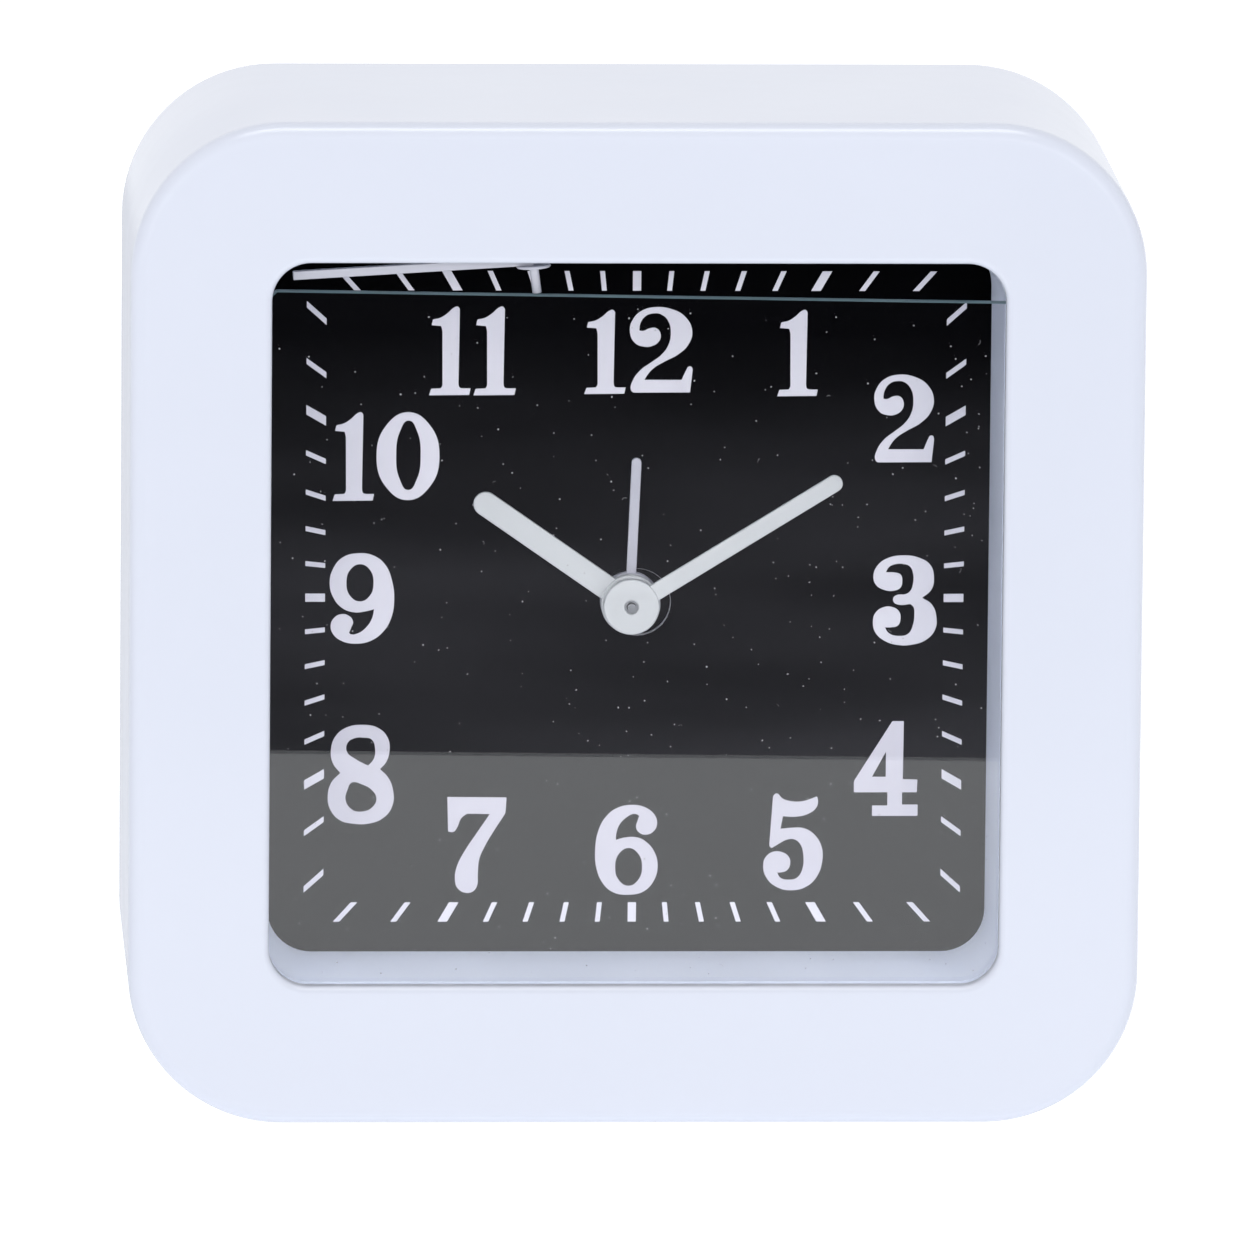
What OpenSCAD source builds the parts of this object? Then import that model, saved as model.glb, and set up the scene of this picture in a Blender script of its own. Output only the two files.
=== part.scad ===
// Square analog alarm clock with a quartz movement, hands set at ten past ten.
// Millimetres. X is to the right as seen from the front, Z is up and the front faces -Y.
// A depth is counted from the front face towards the back.

/* [Case] */
// Width of the square case
case_w = 112; // [106:1:140]
// Height of the square case
case_h = 112; // [106:1:140]
// Depth of the case without its knobs
case_d = 48; // [46:0.5:60]
// Wall of the case
wall = 2; // [1.6:0.1:2.6]
// Radius of the case's corners seen from the front
corner_r = 17; // [12:0.5:20]
// Rounding of the front edge
edge_r = 1.8; // [0.5:0.1:3]
// Width and height of the window
window_w = 80.9; // [76:0.1:82]
// Radius of the window's corners
window_r = 4.3; // [2:0.1:8]
// Rounding of the window's front edge
window_edge_r = 0.8; // [0.3:0.1:1.2]

/* [Glass and dial] */
// Width of the glass
glass_w = 87; // [85:0.5:88]
// Height of the glass
glass_h = 79.5; // [78:0.5:82]
// Size of the glass's clipped corners
glass_clip = 3; // [1:0.1:4]
// Thickness of the glass
glass_t = 1.9; // [1.2:0.1:2.5]
// Drop of the glass's top edge below the window's top edge, at its middle
glass_drop = 4; // [3.4:0.1:5]
// Tilt of the slipped glass, in degrees
glass_tilt = 0.85; // [0:0.05:1.2]
// Depth of the dial's face behind the front
dial_depth = 20; // [19:0.5:24]
// Thickness of the dial
dial_t = 0.8; // [0.5:0.1:1.2]
// Step of the dial frame's opening inside the window's edge
frame_step = 0.35; // [0.1:0.05:0.8]
// Corner radius of the dial frame's opening
frame_corner = 4.9; // [3.5:0.1:6]
// Wall of the dial frame
frame_wall = 1.9; // [1.4:0.1:2.2]
// Thickness of the dial frame's flanges
flange_t = 1.6; // [1.2:0.1:2.2]

/* [Hands] */
// Length of the hour hand
hour_len = 21.1; // [15:0.1:26]
// Width of the hour hand
hour_w = 2.7; // [1.5:0.1:3]
// Length of the minute hand
minute_len = 27.3; // [22:0.1:34]
// Width of the minute hand
minute_w = 1.9; // [1.2:0.1:2.6]
// Length of the alarm hand
alarm_len = 16.2; // [12:0.1:22]
// Width of the alarm hand
alarm_w = 1.1; // [0.8:0.1:2]
// Time shown, in minutes after twelve
shown_minutes = 609.7; // [0:0.1:719.9]
// Angle of the alarm hand clockwise from twelve, in degrees
alarm_angle = 2.2; // [0:0.1:360]
// Thickness of the hands
hand_t = 0.5; // [0.3:0.05:0.6]
// Radius of the hour hand's hub
hour_hub_r = 3.3; // [2.8:0.1:4]
// Radius of the minute hand's hub
minute_hub_r = 3.1; // [2.4:0.1:4]
// Length of the loose second hand from its hub
second_len = 26.5; // [20:0.5:28]

/* [Movement] */
// Half width of the movement's box to the right of the hands
box_right = 27; // [25:0.5:30]
// Half width of the movement's box to the left of the hands
box_left = 30; // [29:0.5:32]
// Half height of the movement's box
box_half_h = 25; // [24.5:0.1:25.5]
// Wall of the movement's box
box_wall = 1.2; // [1:0.1:1.6]
// Thickness of the plate that carries the movement
plate_t = 2; // [1.5:0.1:2.5]
// Distance between the hands' axis and the time setting arbor
motion_dist = 12.5; // [12.4:0.1:13]
// Distance between the hands' axis and the third wheel's arbor
third_dist = 12.24; // [12.1:0.02:13]
// Distance between the hands' axis and the intermediate wheel's arbor
inter_dist = 12.6; // [12.5:0.1:13]
// Distance between the intermediate wheel's arbor and the rotor's
rotor_dist = 8.4; // [8.2:0.1:8.8]
// Distance between the hands' axis and the alarm setting arbor
alarm_dist = 14.4; // [14.2:0.1:15]
// Radial clearance of a running fit
run_gap = 0.07; // [0.04:0.01:0.1]

/* [Back] */
// Thickness of the back cover
cover_t = 2; // [1.6:0.1:2.4]
// Radial gap between the back cover and the case
cover_gap = 0.2; // [0.1:0.05:0.4]
// Radius of the setting knobs
knob_r = 7; // [5:0.5:8]
// Height of the setting knobs
knob_h = 6; // [4:0.5:8]
// Gap between a knob and the back cover
knob_gap = 0.5; // [0.4:0.1:1]
// Radius of the battery
battery_r = 7.1; // [7:0.05:7.25]
// Length of the battery without its nub
battery_len = 49.2; // [48:0.1:50]
// Height of the battery's axis below the hands' axis
battery_drop = 36.5; // [36.5:0.1:38]
// Travel of the alarm switch
switch_travel = 4; // [2:0.5:5]
// Radius of the buzzer
buzzer_r = 12; // [8:0.5:13]

/* [Hidden] */
$fn = 64;
eps = 0.01;

// Depths of the case
total_d = case_d + knob_gap + knob_h;
front_y = -total_d / 2;
axis_z = case_h / 2;
inner_w = case_w / 2 - wall;
inner_h = case_h / 2 - wall;
inner_r = corner_r - wall;
cover_front = case_d - cover_t;

// Depths of the glass, the dial frame and the plate behind the dial
glass_slack = 0.1;
rest_len = 12;
rest_t = 1.4;
frame_front = wall + glass_t + glass_slack;
frame_half = window_w / 2 - frame_step;
frame_outer = frame_half + frame_wall;
boss_r = 2.4;
boss_at = frame_outer + boss_r / 2 + 0.4;
boss_height = 25;
dial_half = boss_at - boss_r - 0.2;
plate_front = dial_depth + dial_t;
plate_back = plate_front + plate_t;

// Screws and the posts that take them
screw_r = 1.2;
thin_screw_r = 1;
head_t = 1.1;
head_r = 2.4;
post_r = 2.6;
case_post_w = case_w / 2 - corner_r + (inner_r - post_r - 0.3) / sqrt(2);
case_post_h = case_h / 2 - corner_r + (inner_r - post_r - 0.3) / sqrt(2);
post_gap = 0.4;
frame_post_r = 2;
frame_post = glass_w / 2 + glass_h / 2 * sin(glass_tilt) + post_gap + frame_post_r;
front_flange_half = frame_post - frame_post_r - post_gap;
flange_half = frame_post + frame_post_r + post_gap;
flange_corner = 4;

// Angles of the hands, clockwise from twelve
minute_angle = 6 * (shown_minutes % 60);
hour_angle = shown_minutes / 2;

// Pipes on the hands' axis, from the inside out
arbor_r = 0.45;
pipe_wall = 0.63;
minute_in = arbor_r + run_gap;
minute_out = minute_in + pipe_wall;
hour_in = minute_out + run_gap;
hour_out = hour_in + pipe_wall;
alarm_in = hour_out + run_gap;
alarm_out = alarm_in + pipe_wall;
bush_in = alarm_out + run_gap;
bush_out = bush_in + pipe_wall + 0.05;
dial_hole_r = bush_out + 0.5;

// Depths of the hands in front of the dial
hand_step = 1.8;
hub_t = 1.2;
alarm_hub_front = dial_depth - 3;
hour_hub_front = alarm_hub_front - hand_step;
minute_hub_front = hour_hub_front - hand_step;
pipe_inset = 0.3;
hub_hole_r = 0.75;

// Depths of the wheels behind the plate
wheel_t = 1;
wheel_gap = 0.6;
pinion_over = 0.2;
alarm_level = plate_back + 0.3;
hour_level = alarm_level + wheel_t + wheel_gap;
motion_level = hour_level + wheel_t + wheel_gap;
center_level = motion_level + wheel_t + wheel_gap + 0.4;
third_level = center_level + wheel_t + wheel_gap + 0.2;
seconds_level = third_level + wheel_t + wheel_gap + 0.4;
inter_level = seconds_level + wheel_t + wheel_gap + 0.4;
box_back_in = inter_level + wheel_t + 3;
box_back = box_back_in + box_wall;
thin_arbor_r = 0.5;
setting_arbor_r = 1;
arbor_in_wall = 0.8;
ear_r = 3;
ear_reach = 3.5;

// Places of the arbors as seen from the front, x then height
hands_at = [0, 0];
motion_angle = 0;
alarm_arbor_angle = 135;
third_angle = 270;
train_angle = 200;
motion_at = polar(motion_dist, motion_angle);
alarm_at = polar(alarm_dist, alarm_arbor_angle);
third_at = polar(third_dist, third_angle);
inter_at = polar(inter_dist, train_angle);
rotor_at = polar(inter_dist + rotor_dist, train_angle);

// Teeth
cannon_n = 10;
motion_n = 40;
motion_pinion_n = 10;
hour_n = 30;
alarm_n = 48;
alarm_pinion_n = 16;
pinion_n = 8;
center_n = 64;
third_n = 60;
seconds_n = 40;
inter_n = 48;
cannon_m = 2 * motion_dist / (cannon_n + motion_n);
hour_m = 2 * motion_dist / (motion_pinion_n + hour_n);
alarm_m = 2 * alarm_dist / (alarm_n + alarm_pinion_n);
center_m = 2 * third_dist / (center_n + pinion_n);
third_m = 2 * third_dist / (third_n + pinion_n);
seconds_m = 2 * inter_dist / (seconds_n + pinion_n);
inter_m = 2 * rotor_dist / (inter_n + pinion_n);

// Motor
rotor_r = 2.5;
rotor_gap = 0.3;
stator_t = 1.4;
stator_front = seconds_level - 0.8;
core_w = 2.4;
core_off = 4.8;
core_x = rotor_at[0] - core_off;
return_len = 11;
return_gap = 0.6;
coil_r = 2.9;
flange_r = 3.3;
coil_low = 0;
coil_high = 17;
bobbin_flange_t = 0.8;
bobbin_r = 1.9;

// Alarm contact on its block
leaf_t = 0.25;
leaf_front = hour_level - 0.15;
leaf_block_low = [12, 13.5];
leaf_block_high = [box_right - box_wall - 0.3, 16.5];
leaf_inset = 0.5;
leaf_reach = 1.5;

// Circuit
board_t = 1;
board_low = [-4, 9];
board_high = [box_right - box_wall - 1, box_half_h - box_wall - 1];
board_front = box_back_in - board_t;
crystal_r = 1;
crystal_len = 6;

// Back cover, battery and switch
battery_play = 0.25;
tray_wall = 1.2;
tray_half_h = battery_r + battery_play + tray_wall;
contact_t = 0.4;
nub_h = 1.3;
nub_r = 2.7;
leaf_room = 3;
tray_half_len = (battery_len + nub_h + leaf_room) / 2 + contact_t + tray_wall;
battery_clear = 1.8;
battery_depth = cover_front - battery_r - battery_clear;
tray_front = battery_depth - battery_r - battery_play - tray_wall;
battery_x = (leaf_room - nub_h) / 2;
door_gap = 0.2;
door_ledge = 1.6;
door_t = cover_t - 0.9;
door_half_len = tray_half_len - tray_wall + door_ledge;
door_half_h = battery_r + battery_play + door_ledge;
switch_inset = 26;
switch_at = [switch_inset - case_w / 2, case_h / 2 - switch_inset];
switch_slot_h = 3.6;
switch_key_w = 4;
switch_play = 0.15;
switch_base_t = 1.8;
switch_lift = 0.1;
buzzer_inset = [18.5, 20];
buzzer_at = [case_w / 2 - buzzer_inset[0], case_h / 2 - buzzer_inset[1]];
buzzer_t = 3.5;
sound_slots = 5;
sound_pitch = 3.2;
sound_w = 1.4;

// Grip lines near one end of the battery door
grip_lines = 5;
grip_w = 0.8;
grip_pitch = 1.6;
grip_depth = 0.5;
grip_inset = 4.8;

// How far the screws reach into what they hold
case_screw_len = 12;
frame_screw_len = 9;
plate_screw_len = 7;

// Iron round the rotor's hole, and the crystal's place on the board
shoe_wall = 2;
crystal_inset = 3;

// Loose second hand on the glass's top edge
second_x = -11.2;
second_depth = wall + 1.5;
second_disc_r = 1.9;
second_disc_t = 0.3;
second_bar = 0.95;
second_tube_r = 0.5;
second_tube_len = 3.1;
second_droop = 3.6;
second_lean = 7.5;
second_seat = 0.1;
second_sink = 0.2;
second_bar_sink = 0.05;
glass_mid_z = window_w / 2 - glass_drop - glass_h / 2;
glass_top_at_second = window_w / 2 - glass_drop - second_x * tan(glass_tilt);

function polar(r, a) = [r * cos(a), r * sin(a)];

// Placing helpers

// Extrudes a shape seen from the front between two depths
module slab(t0, t1) {
    translate([0, front_y + t1, axis_z]) rotate([90, 0, 0]) linear_extrude(t1 - t0) children();
}

// A round rod along the depth
module rod(at, r, t0, t1) {
    slab(t0, t1) translate(at) circle(r);
}

// A tube along the depth
module pipe(at, r_in, r_out, t0, t1) {
    slab(t0, t1) translate(at) difference() {
        circle(r_out);
        circle(r_in);
    }
}

// A rectangle with round corners, given by its half sizes
module round_rect(half_w, half_h, r) {
    square([2 * half_w, 2 * (half_h - r)], center = true);
    square([2 * (half_w - r), 2 * half_h], center = true);
    for (x = [-1, 1], y = [-1, 1]) translate([x * (half_w - r), y * (half_h - r)]) circle(r);
}

// A rectangle with clipped corners, given by its half sizes
module clipped_rect(half_w, half_h, clip) {
    polygon([[half_w, half_h - clip], [half_w - clip, half_h], [clip - half_w, half_h],
        [-half_w, half_h - clip], [-half_w, clip - half_h], [clip - half_w, -half_h],
        [half_w - clip, -half_h], [half_w, clip - half_h]]);
}

// A rectangle between two corners
module rect(low, high) {
    translate(low) square([high[0] - low[0], high[1] - low[1]]);
}

// A gear with straight-flanked teeth, one of them centred on the angle
module gear(m, n, angle) {
    pitch_r = m * n / 2;
    tip_r = pitch_r + 0.75 * m;
    root_r = pitch_r - 1.1 * m;
    step = 360 / n;
    root_w = 0.25 * step;
    pitch_w = 0.19 * step;
    tip_w = 0.09 * step;
    polygon([for (i = [0:n - 1], p = [[root_r, -root_w], [pitch_r, -pitch_w], [tip_r, -tip_w],
        [tip_r, tip_w], [pitch_r, pitch_w], [root_r, root_w]]) polar(p[0], angle + i * step + p[1])]);
}

// A toothed wheel with a bore
module wheel(at, m, n, angle, bore_r, t0, t1) {
    slab(t0, t1) translate(at) difference() {
        gear(m, n, angle);
        circle(bore_r);
    }
}

// Angle at which a gear of n teeth has a gap facing back along a direction
function gap_angle(direction, n) = direction + 180 + 180 / n;

// A screw seen from behind: its head ends at head_back and its tip is at tip_depth
module screw(at, shank_r, cap_r, tip_depth, head_back) {
    difference() {
        union() {
            rod(at, shank_r, tip_depth, head_back - head_t + eps);
            rod(at, cap_r, head_back - head_t, head_back);
        }
        slab(head_back - 0.6, head_back + 1) translate(at) cross(cap_r);
    }
}

// A cross recess
module cross(r) {
    for (a = [0, 90]) rotate(a) square([1.3 * r, 0.3 * r], center = true);
}

// Half of a section through an edge that is rounded at the front
module edge_section(r, depth, e) {
    difference() {
        square([r, depth]);
        difference() {
            translate([r - e, -1]) square([e + 1, e + 1]);
            translate([r - e, e]) circle(e);
        }
    }
}

// A block with round corners and a rounded front edge
module soft_block(half_w, half_h, r, depth, e) {
    for (x = [-1, 1], z = [-1, 1]) {
        translate([x * (half_w - r), front_y, axis_z + z * (half_h - r)])
            rotate([-90, 0, 0]) rotate_extrude() edge_section(r, depth, e);
    }
    translate([0, front_y, axis_z - half_h + r]) linear_extrude(2 * (half_h - r))
        for (s = [0, 1]) mirror([s, 0]) edge_section(half_w, depth, e);
    translate([-half_w + r, front_y, axis_z]) rotate([0, 90, 0]) linear_extrude(2 * (half_w - r))
        for (s = [0, 1]) mirror([s, 0]) edge_section(half_h, depth, e);
}

// Half of a section through a window cut that flares at the front
module flare_section(r, depth, e) {
    translate([0, -1]) square([r, depth + 1]);
    difference() {
        translate([0, -1]) square([r + e, e + 1]);
        translate([r + e, e]) circle(e);
    }
}

// The window's cut with a rounded front edge
module window_cut(half, r, depth, e) {
    for (x = [-1, 1], z = [-1, 1]) {
        translate([x * (half - r), front_y, axis_z + z * (half - r)])
            rotate([-90, 0, 0]) rotate_extrude() flare_section(r, depth, e);
    }
    translate([0, front_y, axis_z - half + r]) linear_extrude(2 * (half - r))
        for (s = [0, 1]) mirror([s, 0]) flare_section(half, depth, e);
    translate([-half + r, front_y, axis_z]) rotate([0, 90, 0]) linear_extrude(2 * (half - r))
        for (s = [0, 1]) mirror([s, 0]) flare_section(half, depth, e);
}

// Places that repeat
case_posts = [for (x = [-1, 1], z = [-1, 1]) [x * case_post_w, z * case_post_h]];
frame_posts = [for (a = [0:90:270]) polar(frame_post, a)];
plate_bosses = [for (x = [-1, 1], z = [-1, 1]) [x * boss_at, z * boss_height]];
box_ears = [for (x = [-box_left - ear_reach, box_right + ear_reach], z = [-1, 1])
    [x, z * (box_half_h - 2 * ear_r)]];

// Sub-parts

module front_case() {
    rest_z = glass_mid_z - glass_h / 2 * cos(glass_tilt) - glass_w / 2 * sin(glass_tilt) - 0.05;
    rest_x = glass_w / 2 - rest_len;
    color("whitesmoke") {
        difference() {
            soft_block(case_w / 2, case_h / 2, corner_r, case_d, edge_r);
            slab(wall, case_d + 1) round_rect(inner_w, inner_h, inner_r);
            window_cut(window_w / 2, window_r, wall + 1, window_edge_r);
        }
        for (p = case_posts) pipe(p, screw_r, post_r, wall - eps, cover_front);
        for (p = frame_posts) pipe(p, screw_r, frame_post_r, wall - eps, dial_depth - flange_t);
        slab(wall - eps, wall + glass_t) rect([rest_x, rest_z - rest_t], [rest_x + rest_len, rest_z]);
    }
}

module front_glass() {
    color("lightcyan", 0.35) slab(wall, wall + glass_t) translate([0, glass_mid_z]) rotate(-glass_tilt)
        clipped_rect(glass_w / 2, glass_h / 2, glass_clip);
}

// The outline of the rear flange and the plate, notched for the case's corner posts
module notched_flange() {
    difference() {
        round_rect(flange_half, flange_half, flange_corner);
        for (p = case_posts) translate(p) circle(post_r + post_gap);
    }
}

module dial_frame() {
    color("white") difference() {
        union() {
            slab(frame_front, dial_depth) round_rect(frame_outer, frame_outer, frame_corner + frame_wall);
            slab(frame_front, frame_front + flange_t)
                round_rect(front_flange_half, front_flange_half, flange_corner);
            slab(dial_depth - flange_t, dial_depth) notched_flange();
            for (p = plate_bosses) rod(p, boss_r, frame_front, plate_front);
        }
        slab(frame_front - 1, dial_depth + 1) round_rect(frame_half, frame_half, frame_corner);
        for (p = plate_bosses) rod(p, thin_screw_r, dial_depth - 8, plate_front + 1);
        for (p = frame_posts) rod(p, screw_r, dial_depth - flange_t - 1, dial_depth + 1);
    }
}

module dial() {
    color("black") slab(dial_depth, plate_front) difference() {
        round_rect(dial_half, dial_half, frame_corner + 1);
        circle(dial_hole_r);
    }
}

// A straight hand with round ends, pointing at an angle clockwise from twelve
module hand(len, w, angle, hub_r, bore_r, hub_front, cap_hole_r) {
    difference() {
        union() {
            slab(hub_front + 0.2, hub_front + 0.2 + hand_t) rotate(-angle) {
                translate([-w / 2, 0]) square([w, len - w / 2]);
                translate([0, len - w / 2]) circle(w / 2);
            }
            rod(hands_at, hub_r, hub_front, hub_front + hub_t);
        }
        rod(hands_at, bore_r, hub_front + pipe_inset, hub_front + hub_t + 1);
        rod(hands_at, cap_hole_r, hub_front - 1, hub_front + pipe_inset + eps);
    }
}

module hour_hand() {
    color("gainsboro") hand(hour_len, hour_w, hour_angle, hour_hub_r, hour_out, hour_hub_front, hour_in);
}

module minute_hand() {
    color("gainsboro")
        hand(minute_len, minute_w, minute_angle, minute_hub_r, minute_out, minute_hub_front, hub_hole_r);
}

module alarm_hand() {
    color("lavender") hand(alarm_len, alarm_w, alarm_angle, hour_hub_r, alarm_out, alarm_hub_front, alarm_in);
}

// Off its arbor: its tube stands on the slipped glass and its needle lies behind the window's top edge
module second_hand() {
    foot_z = glass_top_at_second + second_seat;
    color("ivory") translate([second_x, front_y + second_depth, axis_z + foot_z]) {
        rotate([0, -second_lean, 0]) cylinder(r = second_tube_r, h = second_tube_len);
        translate([-second_tube_len * sin(second_lean), 0, second_tube_len * cos(second_lean) - second_sink])
            rotate([0, -second_droop, 0]) {
                cylinder(r = second_disc_r, h = second_disc_t);
                translate([-second_len, -second_bar / 2, second_disc_t - second_bar_sink])
                    cube([second_len, second_bar, second_bar]);
            }
    }
}

module movement_plate() {
    color("gray") difference() {
        union() {
            slab(plate_front, plate_back) notched_flange();
            slab(plate_back - eps, leaf_front) rect(leaf_block_low, leaf_block_high);
        }
        rod(hands_at, bush_out, plate_front - 1, plate_back + 1);
        for (p = [third_at, inter_at, rotor_at])
            rod(p, thin_arbor_r + run_gap, plate_front - 1, plate_back + 1);
        for (p = [motion_at, alarm_at]) rod(p, setting_arbor_r + run_gap, plate_front - 1, plate_back + 1);
        for (p = plate_bosses) rod(p, thin_screw_r, plate_front - 1, plate_back + 1);
        for (p = frame_posts) rod(p, head_r + post_gap, plate_front - 1, plate_back + 1);
        for (p = box_ears) rod(p, thin_screw_r, plate_front - 1, plate_back + 1);
    }
}

module movement_box() {
    color("dimgray") difference() {
        union() {
            slab(plate_back, box_back) rect([-box_left, -box_half_h], [box_right, box_half_h]);
            for (p = box_ears) slab(plate_back, plate_back + flange_t) {
                translate(p) circle(ear_r);
                translate([p[0] - sign(p[0]) * ear_r, p[1]]) square(2 * ear_r, center = true);
            }
        }
        slab(plate_back - 1, box_back_in)
            rect([-box_left + box_wall, -box_half_h + box_wall],
                [box_right - box_wall, box_half_h - box_wall]);
        rod(hands_at, arbor_r + run_gap, box_back_in - 1, box_back + 1);
        for (p = [third_at, inter_at, rotor_at])
            rod(p, thin_arbor_r + run_gap, box_back_in - 1, box_back + 1);
        for (p = [motion_at, alarm_at]) rod(p, setting_arbor_r + run_gap, box_back_in - 1, box_back + 1);
        for (p = box_ears) rod(p, thin_screw_r, plate_back - 1, plate_back + flange_t + 1);
    }
}

module center_bush() {
    color("goldenrod") pipe(hands_at, bush_in, bush_out, dial_depth - 1.2, plate_back);
}

module alarm_wheel() {
    color("white") {
        wheel(hands_at, alarm_m, alarm_n, alarm_arbor_angle, alarm_in, alarm_level, alarm_level + wheel_t);
        pipe(hands_at, alarm_in, alarm_out, alarm_hub_front + pipe_inset, alarm_level + eps);
    }
}

module hour_wheel() {
    color("white") {
        wheel(hands_at, hour_m, hour_n, motion_angle, hour_in, hour_level, hour_level + wheel_t);
        pipe(hands_at, hour_in, hour_out, hour_hub_front + pipe_inset, hour_level + eps);
    }
}

// The pipe that carries the minute hand, with the cannon pinion on it
module minute_pipe() {
    color("goldenrod") {
        pipe(hands_at, minute_in, minute_out, minute_hub_front + pipe_inset, center_level + wheel_t + 0.4);
        wheel(hands_at, cannon_m, cannon_n, motion_angle, minute_in,
            motion_level - pinion_over, motion_level + wheel_t + pinion_over);
    }
}

module center_wheel() {
    color("white") wheel(hands_at, center_m, center_n, third_angle, minute_out + run_gap,
        center_level, center_level + wheel_t);
}

module motion_wheel() {
    color("white") {
        wheel(motion_at, cannon_m, motion_n, gap_angle(motion_angle, motion_n), setting_arbor_r - eps,
            motion_level, motion_level + wheel_t);
        wheel(motion_at, hour_m, motion_pinion_n, gap_angle(motion_angle, motion_pinion_n),
            setting_arbor_r - eps, hour_level - pinion_over, motion_level + eps);
        rod(motion_at, setting_arbor_r, plate_front + 0.2, case_d + knob_gap);
    }
}

module third_wheel() {
    color("white") {
        wheel(third_at, center_m, pinion_n, gap_angle(third_angle, pinion_n), thin_arbor_r - eps,
            center_level - pinion_over, third_level + eps);
        wheel(third_at, third_m, third_n, third_angle + 180, thin_arbor_r - eps,
            third_level, third_level + wheel_t);
        rod(third_at, thin_arbor_r, plate_front + 0.2, box_back_in + arbor_in_wall);
    }
}

module seconds_wheel() {
    color("white") {
        wheel(hands_at, third_m, pinion_n, gap_angle(third_angle + 180, pinion_n), arbor_r - eps,
            third_level - pinion_over, seconds_level + eps);
        wheel(hands_at, seconds_m, seconds_n, train_angle, arbor_r - eps,
            seconds_level, seconds_level + wheel_t);
        rod(hands_at, arbor_r, minute_hub_front - 0.3, box_back_in + arbor_in_wall);
    }
}

module intermediate_wheel() {
    color("white") {
        wheel(inter_at, seconds_m, pinion_n, gap_angle(train_angle, pinion_n), thin_arbor_r - eps,
            seconds_level - pinion_over, inter_level + eps);
        wheel(inter_at, inter_m, inter_n, train_angle, thin_arbor_r - eps,
            inter_level, inter_level + wheel_t);
        rod(inter_at, thin_arbor_r, plate_front + 0.2, box_back_in + arbor_in_wall);
    }
}

module rotor() {
    color("darkslategray") {
        wheel(rotor_at, inter_m, pinion_n, gap_angle(train_angle, pinion_n), thin_arbor_r - eps,
            inter_level - pinion_over, inter_level + wheel_t + pinion_over);
        pipe(rotor_at, thin_arbor_r - eps, rotor_r, stator_front - 0.3, stator_front + stator_t + 0.3);
        rod(rotor_at, thin_arbor_r, plate_front + 0.2, box_back_in + arbor_in_wall);
    }
}

// The iron circuit of the motor: a shoe round the rotor, the coil's core and a return arm
module stator() {
    shoe_half = rotor_r + shoe_wall;
    color("silver") slab(stator_front, stator_front + stator_t) difference() {
        union() {
            rect([core_x - core_w, rotor_at[1] - shoe_half],
                [rotor_at[0] + shoe_half, rotor_at[1] + shoe_half]);
            rect([core_x - core_w / 2, rotor_at[1]], [core_x + core_w / 2, coil_high + return_gap + core_w]);
            rect([core_x - core_w / 2, coil_high + return_gap],
                [core_x + return_len, coil_high + return_gap + core_w]);
        }
        translate(rotor_at) circle(rotor_r + rotor_gap);
    }
}

module coil_axis(low) {
    translate([core_x, front_y + stator_front + stator_t / 2, axis_z + low]) children();
}

module coil_bobbin() {
    color("navajowhite") difference() {
        union() {
            coil_axis(coil_low) cylinder(r = bobbin_r, h = coil_high - coil_low);
            for (z = [coil_low, coil_high - bobbin_flange_t])
                coil_axis(z) cylinder(r = flange_r, h = bobbin_flange_t);
        }
        slab(stator_front, stator_front + stator_t)
            rect([core_x - core_w / 2, coil_low - 1], [core_x + core_w / 2, coil_high + 1]);
    }
}

module coil_winding() {
    color("peru") coil_axis(coil_low + bobbin_flange_t) difference() {
        cylinder(r = coil_r, h = coil_high - coil_low - 2 * bobbin_flange_t);
        translate([0, 0, -1]) cylinder(r = bobbin_r, h = coil_high);
    }
}

module alarm_pinion() {
    color("white") {
        wheel(alarm_at, alarm_m, alarm_pinion_n, gap_angle(alarm_arbor_angle, alarm_pinion_n),
            setting_arbor_r - eps, alarm_level - 0.1, alarm_level + wheel_t + 0.1);
        rod(alarm_at, setting_arbor_r, plate_front + 0.2, case_d + knob_gap);
    }
}

// A ribbed setting knob
module knob(at) {
    ribs = 24;
    rib_r = 0.45;
    slab(case_d + knob_gap, total_d) translate(at) difference() {
        circle(knob_r);
        for (i = [0:ribs - 1]) translate(polar(knob_r, i * 360 / ribs)) circle(rib_r);
    }
}

module time_knob() {
    color("whitesmoke") knob(motion_at);
}

module alarm_knob() {
    color("whitesmoke") knob(alarm_at);
}

module circuit_board() {
    color("darkgreen") slab(board_front, box_back_in) rect(board_low, board_high);
}

module quartz_crystal() {
    at = [board_low[0] + crystal_inset, board_high[1] - crystal_inset];
    color("silver") translate([at[0], front_y + board_front - crystal_r, axis_z + at[1]])
        rotate([0, 90, 0]) cylinder(r = crystal_r, h = crystal_len);
}

module chip_cap() {
    color("black") rod([board_high[0] - 7, board_low[1] + 6], 3, board_front - 1.2, board_front);
}

// The leaf that closes the alarm's circuit, on a block of the plate
module alarm_contact() {
    color("gold") slab(leaf_front, leaf_front + leaf_t)
        rect(leaf_block_low + [-leaf_reach, leaf_inset], leaf_block_high - [leaf_inset, leaf_inset]);
}

module buzzer() {
    color("dimgray") {
        rod(buzzer_at, buzzer_r, cover_front - buzzer_t + 1, cover_front);
        rod(buzzer_at, buzzer_r - 2, cover_front - buzzer_t, cover_front - buzzer_t + 1 + eps);
    }
}

module battery_outline(half_len, half_h) {
    translate([0, -battery_drop]) square([2 * half_len, 2 * half_h], center = true);
}

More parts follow.
